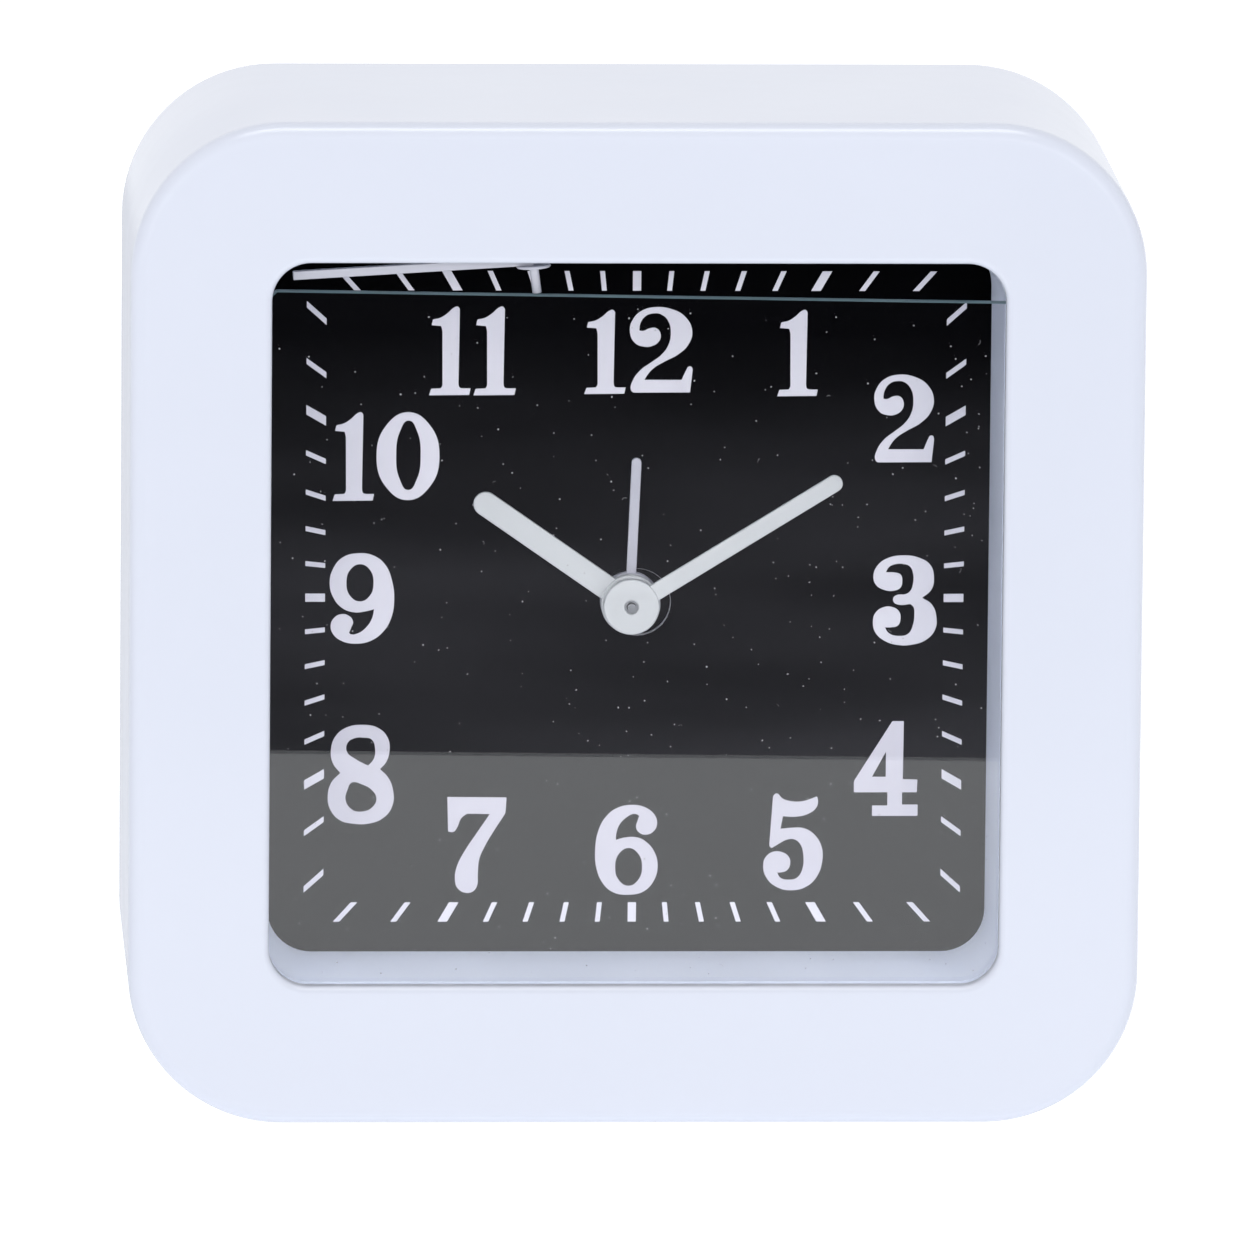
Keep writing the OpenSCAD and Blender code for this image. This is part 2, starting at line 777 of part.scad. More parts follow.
module back_cover() {
    color("whitesmoke") difference() {
        union() {
            slab(cover_front, case_d)
                round_rect(inner_w - cover_gap, inner_h - cover_gap, inner_r - cover_gap);
            slab(tray_front, cover_front + eps) battery_outline(tray_half_len, tray_half_h);
        }
        slab(tray_front + tray_wall, case_d + 1)
            battery_outline(tray_half_len - tray_wall, tray_half_h - tray_wall);
        slab(case_d - door_t, case_d + 1) battery_outline(door_half_len + door_gap, door_half_h + door_gap);
        for (p = [motion_at, alarm_at]) rod(p, setting_arbor_r + 0.3, cover_front - 1, case_d + 1);
        for (p = case_posts) {
            rod(p, screw_r, cover_front - 1, case_d + 1);
            rod(p, head_r + 0.2, case_d - head_t, case_d + 1);
        }
        slab(cover_front - 1, case_d + 1) {
            translate(switch_at + [switch_travel / 2, 0])
                square([switch_key_w + switch_travel + 2 * switch_play, switch_slot_h], center = true);
            for (i = [0:sound_slots - 1])
                translate(buzzer_at + [0, (i - (sound_slots - 1) / 2) * sound_pitch])
                    square([buzzer_r, sound_w], center = true);
        }
    }
}

module battery_door() {
    color("whitesmoke") difference() {
        slab(case_d - door_t, case_d) battery_outline(door_half_len, door_half_h);
        for (i = [0:grip_lines - 1]) slab(case_d - grip_depth, case_d + 1)
            translate([door_half_len - grip_inset - i * grip_pitch, -battery_drop])
                square([grip_w, door_half_h], center = true);
    }
}

module battery_axis(x) {
    translate([x, front_y + battery_depth, axis_z - battery_drop]) rotate([0, 90, 0]) children();
}

module battery() {
    color("slategray") {
        battery_axis(battery_x - battery_len / 2) cylinder(r = battery_r, h = battery_len);
        battery_axis(battery_x + battery_len / 2 - eps) cylinder(r = nub_r, h = nub_h + eps);
    }
}

// A flat contact at an end of the battery's tray
module contact_plate(x) {
    half = battery_r - 2;
    slab(battery_depth - half, battery_depth + half) translate([x, -battery_drop])
        square([contact_t, 2 * half], center = true);
}

module positive_contact() {
    color("silver") contact_plate(tray_half_len - tray_wall - contact_t / 2);
}

// A plate with a bent leaf that presses on the battery's flat end
module negative_contact() {
    x = -(tray_half_len - tray_wall - contact_t / 2);
    reach = battery_x - battery_len / 2 - x - contact_t / 2;
    color("silver") {
        contact_plate(x);
        slab(battery_depth - 2, battery_depth + 2) translate([x, -battery_drop])
            polygon([[-contact_t / 2, 4], [reach, 0.6], [reach, -0.6], [-contact_t / 2, -4],
                [-contact_t / 2, -3], [reach - 0.6, 0], [-contact_t / 2, 3]]);
    }
}

module alarm_switch() {
    color("gray") {
        slab(cover_front - switch_lift - switch_base_t, cover_front - switch_lift) translate(switch_at)
            square([switch_key_w + switch_travel * 2 + 6, switch_slot_h + 4], center = true);
        slab(cover_front - switch_lift - eps, case_d + 1.4) translate(switch_at)
            square([switch_key_w, switch_slot_h - 2 * switch_play], center = true);
    }
}

module case_screws() {
    color("silver") for (p = case_posts) screw(p, screw_r, head_r, case_d - case_screw_len, case_d);
}

module frame_screws() {
    color("silver") for (p = frame_posts)
        screw(p, screw_r, head_r, dial_depth - frame_screw_len, dial_depth + head_t);
}

module movement_screws() {
    color("silver") for (p = plate_bosses)
        screw(p, thin_screw_r, boss_r, dial_depth - plate_screw_len, plate_back + head_t);
}

module box_screws() {
    color("silver") for (p = box_ears)
        screw(p, thin_screw_r, head_r, plate_front + 0.2, plate_back + flange_t + head_t);
}

front_case();
front_glass();
dial_frame();
dial();
hour_hand();
minute_hand();
alarm_hand();
second_hand();
movement_plate();
movement_box();
center_bush();
alarm_wheel();
hour_wheel();
minute_pipe();
center_wheel();
motion_wheel();
third_wheel();
seconds_wheel();
intermediate_wheel();
rotor();
stator();
coil_bobbin();
coil_winding();
alarm_pinion();
time_knob();
alarm_knob();
circuit_board();
quartz_crystal();
chip_cap();
alarm_contact();
buzzer();
back_cover();
battery_door();
battery();
positive_contact();
negative_contact();
alarm_switch();
case_screws();
frame_screws();
movement_screws();
box_screws();
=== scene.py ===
import math
import bmesh
import bpy
from mathutils import Matrix, Vector


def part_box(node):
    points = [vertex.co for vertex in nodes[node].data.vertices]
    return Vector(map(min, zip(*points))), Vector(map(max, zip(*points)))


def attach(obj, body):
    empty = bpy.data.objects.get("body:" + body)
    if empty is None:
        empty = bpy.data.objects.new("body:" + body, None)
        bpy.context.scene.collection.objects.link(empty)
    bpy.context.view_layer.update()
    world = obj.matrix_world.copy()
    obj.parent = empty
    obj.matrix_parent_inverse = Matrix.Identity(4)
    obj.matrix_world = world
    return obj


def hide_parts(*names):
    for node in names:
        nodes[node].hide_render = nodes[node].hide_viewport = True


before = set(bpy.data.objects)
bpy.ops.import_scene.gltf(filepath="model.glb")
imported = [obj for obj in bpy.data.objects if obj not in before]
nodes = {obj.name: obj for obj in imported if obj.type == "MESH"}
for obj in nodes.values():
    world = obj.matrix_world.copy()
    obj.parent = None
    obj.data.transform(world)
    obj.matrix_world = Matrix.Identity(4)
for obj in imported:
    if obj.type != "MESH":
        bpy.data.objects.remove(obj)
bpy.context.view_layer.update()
print("frame loaded with", len(nodes), "nodes")

mm = 0.001
caseLow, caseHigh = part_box("front_case")
frontY = caseLow.y
axisZ = (caseLow.z + caseHigh.z) / 2


# A point from millimetres right of the hands' axis, behind the front face and above the axis
def at(x, depth, z):
    return Vector((x * mm, frontY + depth * mm, axisZ + z * mm))


# Depth in millimetres of a node's front (0) or back (1)
def depthOf(node, side):
    return (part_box(node)[side].y - frontY) / mm


# Materials

def linear(hexColour):
    values = [int(hexColour[i:i + 2], 16) / 255 for i in (1, 3, 5)]
    return [*(v / 12.92 if v <= 0.04045 else ((v + 0.055) / 1.055) ** 2.4 for v in values), 1.0]


# Adds a node with its settings, each input set to a value or joined to a source, and gives its outputs
def addNode(tree, kind, inputs=None, **settings):
    node = tree.nodes.new(kind)
    for name, value in settings.items():
        setattr(node, name, value)
    for name, value in (inputs or {}).items():
        if isinstance(value, bpy.types.NodeSocket):
            tree.links.new(value, node.inputs[name])
        else:
            node.inputs[name].default_value = value
    return node.outputs


# Scale of a pattern on Object coordinates, which are metres, from its size in millimetres
def scaleFor(sizeMm):
    return 1 / (sizeMm * mm)


# A material with its tree and shader, whose sockets take what is the same all over
def newMaterial(name, sockets):
    material = bpy.data.materials.new(name)
    material.use_nodes = True
    shader = material.node_tree.nodes["Principled BSDF"]
    for socket, value in sockets.items():
        shader.inputs[socket].default_value = value
    return material, material.node_tree, shader


# A surface whose colour and roughness wander between two values over clouds, with a fine grain in relief.
# A band passes into another tone between two places in millimetres along an axis.
def makeFinish(name, colours, cloudMm, rough, grainMm, reliefMm, sockets=None, stretch=(1, 1, 1), band=None):
    material, tree, shader = newMaterial(name, sockets or {})
    place = addNode(tree, "ShaderNodeTexCoord")["Object"]
    stretched = addNode(tree, "ShaderNodeMapping", {"Vector": place, "Scale": stretch})["Vector"]
    cloud = addNode(tree, "ShaderNodeTexNoise", {
        "Vector": stretched, "Scale": scaleFor(cloudMm), "Detail": 4.0})["Fac"]
    colour = addNode(tree, "ShaderNodeMix", {
        "Factor": cloud, "A": linear(colours[0]), "B": linear(colours[1])}, data_type="RGBA")["Result"]
    dull = addNode(tree, "ShaderNodeMapRange", {
        "Value": cloud, "From Min": 0.3, "From Max": 0.7, "To Min": rough[0], "To Max": rough[1]})
    grain = addNode(tree, "ShaderNodeTexNoise", {
        "Vector": stretched, "Scale": scaleFor(grainMm), "Detail": 2.0})
    relief = addNode(tree, "ShaderNodeBump", {
        "Height": grain["Fac"], "Strength": 1.0, "Distance": reliefMm * mm})
    if band:
        tone, axis, start, end = band
        along = addNode(tree, "ShaderNodeSeparateXYZ", {"Vector": place})[axis]
        past = addNode(tree, "ShaderNodeMapRange", {
            "Value": along, "From Min": start * mm, "From Max": end * mm})
        colour = addNode(tree, "ShaderNodeMix", {
            "Factor": past["Result"], "A": colour, "B": linear(tone)}, data_type="RGBA")["Result"]
    tree.links.new(colour, shader.inputs["Base Color"])
    tree.links.new(dull["Result"], shader.inputs["Roughness"])
    tree.links.new(relief["Normal"], shader.inputs["Normal"])
    return material


# Gloss ABS moulded in a polished tool: a cool white with soft wide highlights and a faint waviness
caseAbs = makeFinish("gloss_moulded_abs", ("#cbcfdb", "#ced2de"), 34, (0.2, 0.27), 7, 0.006, {"IOR": 1.52})
# Satin polystyrene of the recess, with duller highlights; its tone is painted whiter and bluer than the case,
# standing in for bright bluish fill light in the recess
frameStyrenePaintedFill = makeFinish("satin_polystyrene_painted_bluish_fill", ("#e3ebfd", "#e9f0ff"), 22, (0.34, 0.44), 0.9, 0.003,
                          {"IOR": 1.55})
# Black ink on a plastic sheet: near black and matt, so the strip that no glass covers stays deepest
dialSheet = makeFinish("black_printed_sheet", ("#030304", "#060608"), 9, (0.5, 0.62), 0.35, 0.002,
                       {"IOR": 1.45, "Specular IOR Level": 0.01})
# White screen ink with a lavender cast and a slightly uneven film
screenInk = (("#dad8e2", "#dfdee5"), 4, (0.5, 0.65), 0.25, 0.002)
dialInk = makeFinish("lavender_white_screen_ink", *screenInk)
# The numbers' ink, greyed towards the lower ones: painted shade that stands in for less light on the bottom
# of the dial
numberInkPaintedShadeLow = makeFinish("white_screen_ink_painted_shade_low", *screenInk, band=("#c8c6d0", "Z", 52, 36))
# Off-white moulded hands with a satin skin
handPlastic = makeFinish("satin_offwhite_moulded_hand", ("#c5c8ca", "#cbced0"), 6, (0.35, 0.48), 0.5, 0.002)
# The plastic of the alarm hand and the second hand is a shade more lavender
alarmPlastic = makeFinish("satin_lavender_moulded_hand", ("#b7b8c2", "#bebec8"), 6, (0.38, 0.5), 0.5, 0.002)
# Natural acetal of the wheels: waxy and a little warm
gearAcetal = makeFinish("natural_moulded_acetal", ("#e6e3d9", "#efece2"), 5, (0.3, 0.42), 0.4, 0.003)
# Black styrene of the movement, its bush and the buzzer: spark textured and dull, so no light comes back
blackStyrene = makeFinish("spark_textured_black_styrene", ("#050506", "#09090a"), 12, (0.45, 0.6), 0.3, 0.01,
                          {"Specular IOR Level": 0.12})
# Grey ABS of the switch, with a soft shine
greyAbs = makeFinish("grey_moulded_abs", ("#8b8e94", "#969a9f"), 10, (0.36, 0.5), 0.5, 0.006)
# Turned brass: fine tool lines across the depth stretch the highlights
turnedBrass = makeFinish("turned_brass", ("#b08d4c", "#c7a564"), 2.5, (0.22, 0.36), 0.25, 0.003,
                         {"Metallic": 1.0}, stretch=(0.2, 3, 0.2))
# White plastic where the printed dial sheet is cut: a pale thin rim
sheetEdge = makeFinish("cut_white_sheet_edge", ("#c9c9d0", "#d8d8de"), 3, (0.5, 0.65), 0.2, 0.003)
# Zinc-plated steel: a grey metal with a cloudy bright plating
zincSteel = makeFinish("zinc_plated_steel", ("#a9abae", "#c3c5c8"), 2, (0.26, 0.42), 0.4, 0.003,
                       {"Metallic": 1.0})
# Sintered ferrite: charcoal and finely grainy
ferrite = makeFinish("sintered_ferrite", ("#2c2c2e", "#3a3a3c"), 1.2, (0.5, 0.68), 0.2, 0.01)
# Enamelled copper wire: lacquered warm metal whose turns lie as fine lines across the coil
coilCopper = makeFinish("enamelled_copper_wire", ("#8f4a26", "#b96a3a"), 0.6, (0.25, 0.4), 0.3, 0.03,
                        {"Metallic": 1.0}, stretch=(0.15, 0.15, 4))
# Green lacquer over a woven glass laminate: a smooth shine over mottled green
boardLaminate = makeFinish("lacquered_green_laminate", ("#16502c", "#1f6238"), 1.6, (0.28, 0.4), 0.6, 0.008)
# Printed sleeve on a steel can: slate film with a satin shine and a pale band at the button
cellSleeve = makeFinish("printed_cell_sleeve", ("#4a5260", "#566071"), 14, (0.24, 0.34), 1.2, 0.004,
                        band=("#a7adb6", "X", 10.98, 11.02))
# Grey pad-printed ink of the signs on the back: flat and even
padPrint = makeFinish("grey_pad_printed_ink", ("#7f838c", "#8b8f98"), 3, (0.45, 0.6), 0.2, 0.002)
# Pale grey dust and lint without any shine
dustGrey = makeFinish("dry_grey_dust", ("#8a8a8e", "#c4c4ca"), 3, (0.8, 0.95), 0.1, 0.01)
# Float glass: clear faces, a sharp reflection of the table and a very faint cool cast
floatGlass = makeFinish("clear_float_glass", ("#fbfcfe", "#fdfdff"), 40, (0.0, 0.012), 60, 0.0005,
                        {"IOR": 1.6, "Transmission Weight": 1.0})
# Sawn glass edge: frosted, with the cyan of light that runs along the pane
sawnEdge = makeFinish("sawn_glass_edge", ("#5f8087", "#729298"), 2, (0.3, 0.5), 0.2, 0.01,
                      {"IOR": 1.5, "Transmission Weight": 0.25})
print("finishes made:", len(bpy.data.materials))


# Meshes

def addObject(name, data):
    holder = bpy.data.objects.new(name, data)
    bpy.context.scene.collection.objects.link(holder)
    return holder


# What an object's curve or modifier gives, as a plain mesh, with the modifier and the object removed
def plainMesh(holder):
    depsgraph = bpy.context.evaluated_depsgraph_get()
    mesh = bpy.data.meshes.new_from_object(holder.evaluated_get(depsgraph), depsgraph=depsgraph)
    holder.modifiers.clear()
    bpy.data.objects.remove(holder)
    return mesh


def meshFrom(bm, name):
    mesh = bpy.data.meshes.new(name)
    bm.to_mesh(mesh)
    bm.free()
    return mesh


# Points of a rectangle with round corners, half sizes in millimetres, anticlockwise seen from the front
def roundedPoints(halfW, halfH, radius, steps=12, sideSteps=1, middle=(0, 0)):
    points = []
    for start, (sx, sz) in zip((0, 90, 180, 270), ((1, 1), (-1, 1), (-1, -1), (1, -1))):
        centre = (middle[0] + sx * (halfW - radius), middle[1] + sz * (halfH - radius))
        for i in range(steps + 1):
            a = math.radians(start + 90 * i / steps)
            points.append((centre[0] + radius * math.cos(a), centre[1] + radius * math.sin(a)))
    filled = []
    for i, p in enumerate(points):
        filled.append(p)
        if i % (steps + 1) == steps:  # a straight side follows
            q = points[(i + 1) % len(points)]
            filled += [(p[0] + (q[0] - p[0]) * j / sideSteps, p[1] + (q[1] - p[1]) * j / sideSteps)
                       for j in range(1, sideSteps)]
    return filled


def circlePoints(radius, steps=48, middle=(0, 0)):
    angles = [2 * math.pi * i / steps for i in range(steps)]
    return [(middle[0] + radius * math.cos(a), middle[1] + radius * math.sin(a)) for a in angles]


# Points turned clockwise about the hands' axis, in degrees
def turned(points, degrees):
    c, s = math.cos(math.radians(degrees)), math.sin(math.radians(degrees))
    return [(x * c + z * s, z * c - x * s) for x, z in points]


# Faces between rows of points, each row joined to the next
def skin(bm, rows):
    for low, high in zip(rows, rows[1:]):
        for i in range(len(low)):
            j = (i + 1) % len(low)
            bm.faces.new((low[i], low[j], high[j], high[i]))


# A skin over rings of equal point counts, each a list of points and a depth
def loft(rings, closed=False):
    bm = bmesh.new()
    rows = [[bm.verts.new(at(x, depth, z)) for x, z in points] for points, depth in rings]
    skin(bm, rows + rows[:1] if closed else rows)
    if not closed:
        bm.faces.new(rows[0])
        bm.faces.new(rows[-1])
    bmesh.ops.recalc_face_normals(bm, faces=bm.faces)
    return meshFrom(bm, "loft")


# A round bar about the local Z axis, from pairs of radius and height
def turnedBar(profile, steps=32):
    bm = bmesh.new()
    rows = [[bm.verts.new((x * mm, y * mm, z * mm)) for x, y in circlePoints(r, steps)] for r, z in profile]
    skin(bm, rows)
    bm.faces.new(reversed(rows[0]))
    bm.faces.new(rows[-1])
    return meshFrom(bm, "bar")


# A block between two corners in millimetres of a local frame, with its edges rounded
def roundedBlock(low, high, edge):
    bm = bmesh.new()
    middle = Matrix.Translation([(a + b) / 2 * mm for a, b in zip(low, high)])
    size = Matrix.Diagonal([(b - a) * mm for a, b in zip(low, high)] + [1])
    bmesh.ops.create_cube(bm, size=1, matrix=middle @ size)
    bmesh.ops.bevel(bm, geom=bm.edges[:], offset=edge * mm, segments=3, profile=0.5, affect="EDGES")
    return meshFrom(bm, "block")


# Quarter round steps from 0 to 1 as sine and one minus cosine
def roundSteps(count):
    angles = [math.pi / 2 * i / count for i in range(count + 1)]
    return [(math.sin(a), 1 - math.cos(a)) for a in angles]


# A flat curve's outlines made into a plate between two depths, with its edges rounded
def flatPlate(outlines, front, back, bevel=0.0, smooth=False):
    curve = bpy.data.curves.new("plate", "CURVE")
    curve.dimensions = "2D"
    curve.fill_mode = "BOTH"
    curve.resolution_u = 8
    curve.extrude = ((back - front) / 2 - bevel) * mm
    curve.bevel_depth = bevel * mm
    curve.bevel_resolution = 2
    curve.offset = -bevel * mm
    for points in outlines:
        spline = curve.splines.new("BEZIER" if smooth else "POLY")
        spline.use_cyclic_u = True
        if smooth:
            spline.bezier_points.add(len(points) - 1)
            for target, p in zip(spline.bezier_points, points):
                target.co = (p[0] * mm, p[1] * mm, 0)
                kind = "VECTOR" if len(p) > 2 else "AUTO"
                target.handle_left_type = target.handle_right_type = kind
        else:
            spline.points.add(len(points) - 1)
            for target, p in zip(spline.points, points):
                target.co = (p[0] * mm, p[1] * mm, 0, 1)
    mesh = plainMesh(addObject("plate", curve))
    upright = Matrix.Rotation(math.pi / 2, 4, "X")
    mesh.transform(Matrix.Translation(at(0, (front + back) / 2, 0)) @ upright)
    return mesh


# Several meshes as one, welded and with outward faces
def joined(meshes, weld=0.0005):
    bm = bmesh.new()
    for mesh in meshes:
        bm.from_mesh(mesh)
        bpy.data.meshes.remove(mesh)
    bmesh.ops.remove_doubles(bm, verts=bm.verts, dist=weld * mm)
    bmesh.ops.dissolve_degenerate(bm, edges=bm.edges, dist=weld * mm / 4)
    bmesh.ops.recalc_face_normals(bm, faces=bm.faces)
    return meshFrom(bm, "joined")


# A finished piece on its body, where asked with even shading on the flats beside small roundings
def makePiece(name, mesh, finish, body, replaced=(), sharpAbove=38, evenFlats=False):
    mesh.name = name
    mesh.materials.clear()
    mesh.materials.append(finish)
    mesh.shade_smooth()
    mesh.set_sharp_from_angle(angle=math.radians(sharpAbove))
    piece = addObject(name, mesh)
    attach(piece, body)
    if replaced:
        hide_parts(*replaced)
    if evenFlats:
        weigh = piece.modifiers.new("even_flats", "WEIGHTED_NORMAL")
        weigh.keep_sharp = True
        weigh.weight = 80
    return piece


# A geometry tree with named inputs, and the inputs' own nodes
def geometryTree(name, inputs):
    tree = bpy.data.node_groups.new(name, "GeometryNodeTree")
    tree.interface.new_socket("Geometry", in_out="INPUT", socket_type="NodeSocketGeometry")
    for label, kind in inputs.items():
        tree.interface.new_socket(label, in_out="INPUT", socket_type="NodeSocket" + kind)
    tree.interface.new_socket("Geometry", in_out="OUTPUT", socket_type="NodeSocketGeometry")
    return tree, addNode(tree, "NodeGroupInput")


# Ends a tree with Realize Instances and Set Material, runs it on a mesh and gives back the plain result
def runTree(tree, instances, finish, mesh, values):
    real = addNode(tree, "GeometryNodeRealizeInstances", {"Geometry": instances["Instances"]})
    painted = addNode(tree, "GeometryNodeSetMaterial", {"Geometry": real["Geometry"], "Material": finish})
    addNode(tree, "NodeGroupOutput", {"Geometry": painted["Geometry"]})
    holder = addObject(tree.name, mesh)
    modifier = holder.modifiers.new(tree.name, "NODES")
    modifier.node_group = tree
    for item in tree.interface.items_tree:
        if item.in_out == "INPUT" and item.name in values:
            modifier[item.identifier] = values[item.name]
    return plainMesh(holder)


# Case

case = {"half": 56, "corner": 17, "edge": 1.8, "wall": 2, "depth": 48, "rimEdge": 0.7, "rimInside": 0.3,
        "windowHalf": 40.45, "windowCorner": 4.3, "windowEdge": 0.8, "ledgeHalf": 47, "ledgeCorner": 9,
        "faceShares": (0.1, 0.35, 0.65, 0.9), "outerDepths": (4, 16, 30, 43), "innerDepths": (44, 24, 4, 2),
        "cornerSteps": 20, "sideSteps": 10}


# A ring of the case, its corner as much smaller than the full one as its half size is
def caseRing(half, depth, full, corner):
    return roundedPoints(half, half, corner - (full - half), case["cornerSteps"], case["sideSteps"]), depth


def makeCase():
    c = case
    full, corner, edge, rim = c["half"], c["corner"], c["edge"], c["rimEdge"]
    window, windowCorner, windowEdge = c["windowHalf"], c["windowCorner"], c["windowEdge"]
    inner, innerCorner = full - c["wall"], corner - c["wall"]
    rings = []
    for s, d in roundSteps(6):  # window's wall to the front face
        rings.append(caseRing(window + windowEdge * d, windowEdge * (1 - s), window, windowCorner))
    faceIn, faceOut = window + windowEdge, full - edge
    cornerIn, cornerOut = windowCorner + windowEdge, corner - edge
    for share in c["faceShares"]:  # front face
        half = faceIn + (faceOut - faceIn) * share
        rings.append(caseRing(half, 0, half, cornerIn + (cornerOut - cornerIn) * share))
    for s, d in roundSteps(8):  # front edge
        rings.append(caseRing(faceOut + edge * s, edge * d, full, corner))
    for depth in c["outerDepths"]:
        rings.append(caseRing(full, depth, full, corner))
    for s, d in roundSteps(5):  # back rim
        rings.append(caseRing(full - rim * d, c["depth"] - rim * (1 - s), full, corner))
    for s, d in roundSteps(3):
        half, depth = inner + c["rimInside"] * (1 - s), c["depth"] - c["rimInside"] * d
        rings.append(caseRing(half, depth, inner, innerCorner))
    for depth in c["innerDepths"]:
        rings.append(caseRing(inner, depth, inner, innerCorner))
    rings.append(caseRing(c["ledgeHalf"], c["wall"], c["ledgeHalf"], c["ledgeCorner"]))
    rings.append(caseRing(window, c["wall"], window, windowCorner))
    makePiece("case_shell", loft(rings, closed=True), caseAbs, "clock", ["front_case"],
              evenFlats=True)


makeCase()
print("case made")

# Recess

recess = {"half": 40.1, "corner": 4.9, "wider": 0.35, "frontCorner": 4.3, "merge": 0.001, "reach": 0.01}


# The frame's own mesh, its opening drafted as it left the mould, so its front edge meets the window's
def makeRecess():
    r = recess
    bm = bmesh.new()
    bm.from_mesh(nodes["dial_frame"].data)
    bmesh.ops.remove_doubles(bm, verts=bm.verts, dist=r["merge"] * mm)
    bm.verts.index_update()
    old, new = r["half"] - r["corner"], r["half"] + r["wider"] - r["frontCorner"]
    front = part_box("dial_frame")[0].y
    for v in bm.verts:
        x, z = v.co.x / mm, (v.co.z - axisZ) / mm
        if v.co.y - front < r["reach"] * mm and max(abs(x), abs(z)) < r["half"] + r["reach"]:
            way = Vector((max(abs(x) - old, 0), max(abs(z) - old, 0))).normalized() * r["frontCorner"]
            v.co = at(math.copysign(new + way.x, x), depthOf("dial_frame", 0), math.copysign(new + way.y, z))
    mesh = bpy.data.meshes.new("recess")  # takes the points and faces alone, without the node's own normals
    mesh.from_pydata([v.co for v in bm.verts], [], [[v.index for v in f.verts] for f in bm.faces])
    bm.free()
    # the recess takes the frame's tone, painted whiter and bluer to stand in for its fill light
    makePiece("recess_frame", mesh, frameStyrenePaintedFill, "clock", ["dial_frame"])


makeRecess()
print("recess made")

# Glass, slipped and tilted in its pocket

glass = {"halfW": 43.5, "halfH": 39.75, "clip": 3, "front": depthOf("front_glass", 0),
         "back": depthOf("front_glass", 1), "middle": -3.3, "tilt": 0.85, "arris": 0.04}
dust = {"specks": 900, "speckMm": 0.25, "speckSeed": 7, "lints": 44, "lintMm": 0.8, "lintSeed": 11,
        "clumpMm": 16, "thin": 0.15, "thick": 1.85, "bend": 1.9, "threadR": 0.022,
        "lift": 0.01, "inset": 0.8, "top": 35.2}


def glassOutline(inset):
    w, h, c = glass["halfW"] - inset, glass["halfH"] - inset, glass["clip"]
    corners = [(w, c - h), (w, h - c), (w - c, h), (c - w, h)]
    corners += [(-x, -z) for x, z in corners]
    return [(x, z + glass["middle"]) for x, z in turned(corners, glass["tilt"])]


def makeGlass():
    front, back, arris = glass["front"], glass["back"], glass["arris"]
    rings = [(glassOutline(arris), front), (glassOutline(0), front + arris),
             (glassOutline(0), back - arris), (glassOutline(arris), back)]
    pane = makePiece("glass_pane", loft(rings), floatGlass, "clock", ["front_glass"], 20)
    pane.data.materials.append(sawnEdge)
    for face in pane.data.polygons:
        face.material_index = 0 if abs(face.normal.y) > 0.99 else 1
    pane.visible_shadow = False  # lamps shine through the clear pane


# Specks or curled fibres on the front of the pane, thicker in some places than in others
def makeDust(name, count, size, seed, fibres):
    d = dust
    tree, given = geometryTree(name, {"Density": "Float", "Size": "Float", "Seed": "Int"})
    clump = addNode(tree, "ShaderNodeTexNoise", {"Scale": scaleFor(d["clumpMm"]), "Detail": 2.0})
    share = addNode(tree, "ShaderNodeMapRange", {
        "Value": clump["Fac"], "From Min": 0.38, "From Max": 0.62, "To Min": d["thin"], "To Max": d["thick"]})
    dense = addNode(tree, "ShaderNodeMath", {0: share["Result"], 1: given["Density"]}, operation="MULTIPLY")
    spread = addNode(tree, "GeometryNodeDistributePointsOnFaces", {
        "Mesh": given["Geometry"], "Density": dense["Value"], "Seed": given["Seed"]})
    if fibres:
        bend = addNode(tree, "GeometryNodeCurveArc", {
            "Resolution": 9, "Radius": 0.5, "Sweep Angle": d["bend"]})
        thread = addNode(tree, "GeometryNodeCurvePrimitiveCircle", {"Resolution": 5, "Radius": d["threadR"]})
        body = addNode(tree, "GeometryNodeCurveToMesh", {
            "Curve": bend["Curve"], "Profile Curve": thread["Curve"], "Fill Caps": True})
        flake = addNode(tree, "GeometryNodeTransform", {
            "Geometry": body["Mesh"], "Rotation": (math.pi / 2, 0, 0)})["Geometry"]
        low, high = (0.4, 0.8, 0.2), (1.2, 1.0, 1.0)
    else:
        flake = addNode(tree, "GeometryNodeMeshIcoSphere", {"Radius": 0.5, "Subdivisions": 1})["Mesh"]
        low, high = (0.25, 0.12, 0.25), (1.0, 0.2, 0.8)
    across = addNode(tree, "FunctionNodeRandomValue", {"Min": low, "Max": high, "Seed": given["Seed"]},
                     data_type="FLOAT_VECTOR")
    scaled = addNode(tree, "ShaderNodeVectorMath", {0: across["Value"], "Scale": given["Size"]},
                     operation="SCALE")
    turn = addNode(tree, "FunctionNodeRandomValue", {
        "Min": (0, 0, 0), "Max": (0, 6.28, 0), "Seed": given["Seed"]}, data_type="FLOAT_VECTOR")
    laid = addNode(tree, "GeometryNodeInstanceOnPoints", {
        "Points": spread["Points"], "Instance": flake, "Scale": scaled["Vector"],
        "Rotation": turn["Value"]})
    half, top = case["windowHalf"] - d["inset"], d["top"]
    corners = ((-half, -half), (half, -half), (half, top), (-half, top))
    patch = bpy.data.meshes.new("dust_patch")
    patch.from_pydata([at(x, glass["front"] - d["lift"], z) for x, z in corners], [], [(0, 1, 2, 3)])
    area = 2 * half * (top + half) * mm * mm
    settled = runTree(tree, laid, dustGrey, patch, {"Density": count / area, "Size": size * mm, "Seed": seed})
    makePiece(name, settled, dustGrey, "clock")


makeGlass()
makeDust("glass_dust", dust["specks"], dust["speckMm"], dust["speckSeed"], False)
makeDust("glass_lint", dust["lints"], dust["lintMm"], dust["lintSeed"], True)
print("glass made")

# Dial

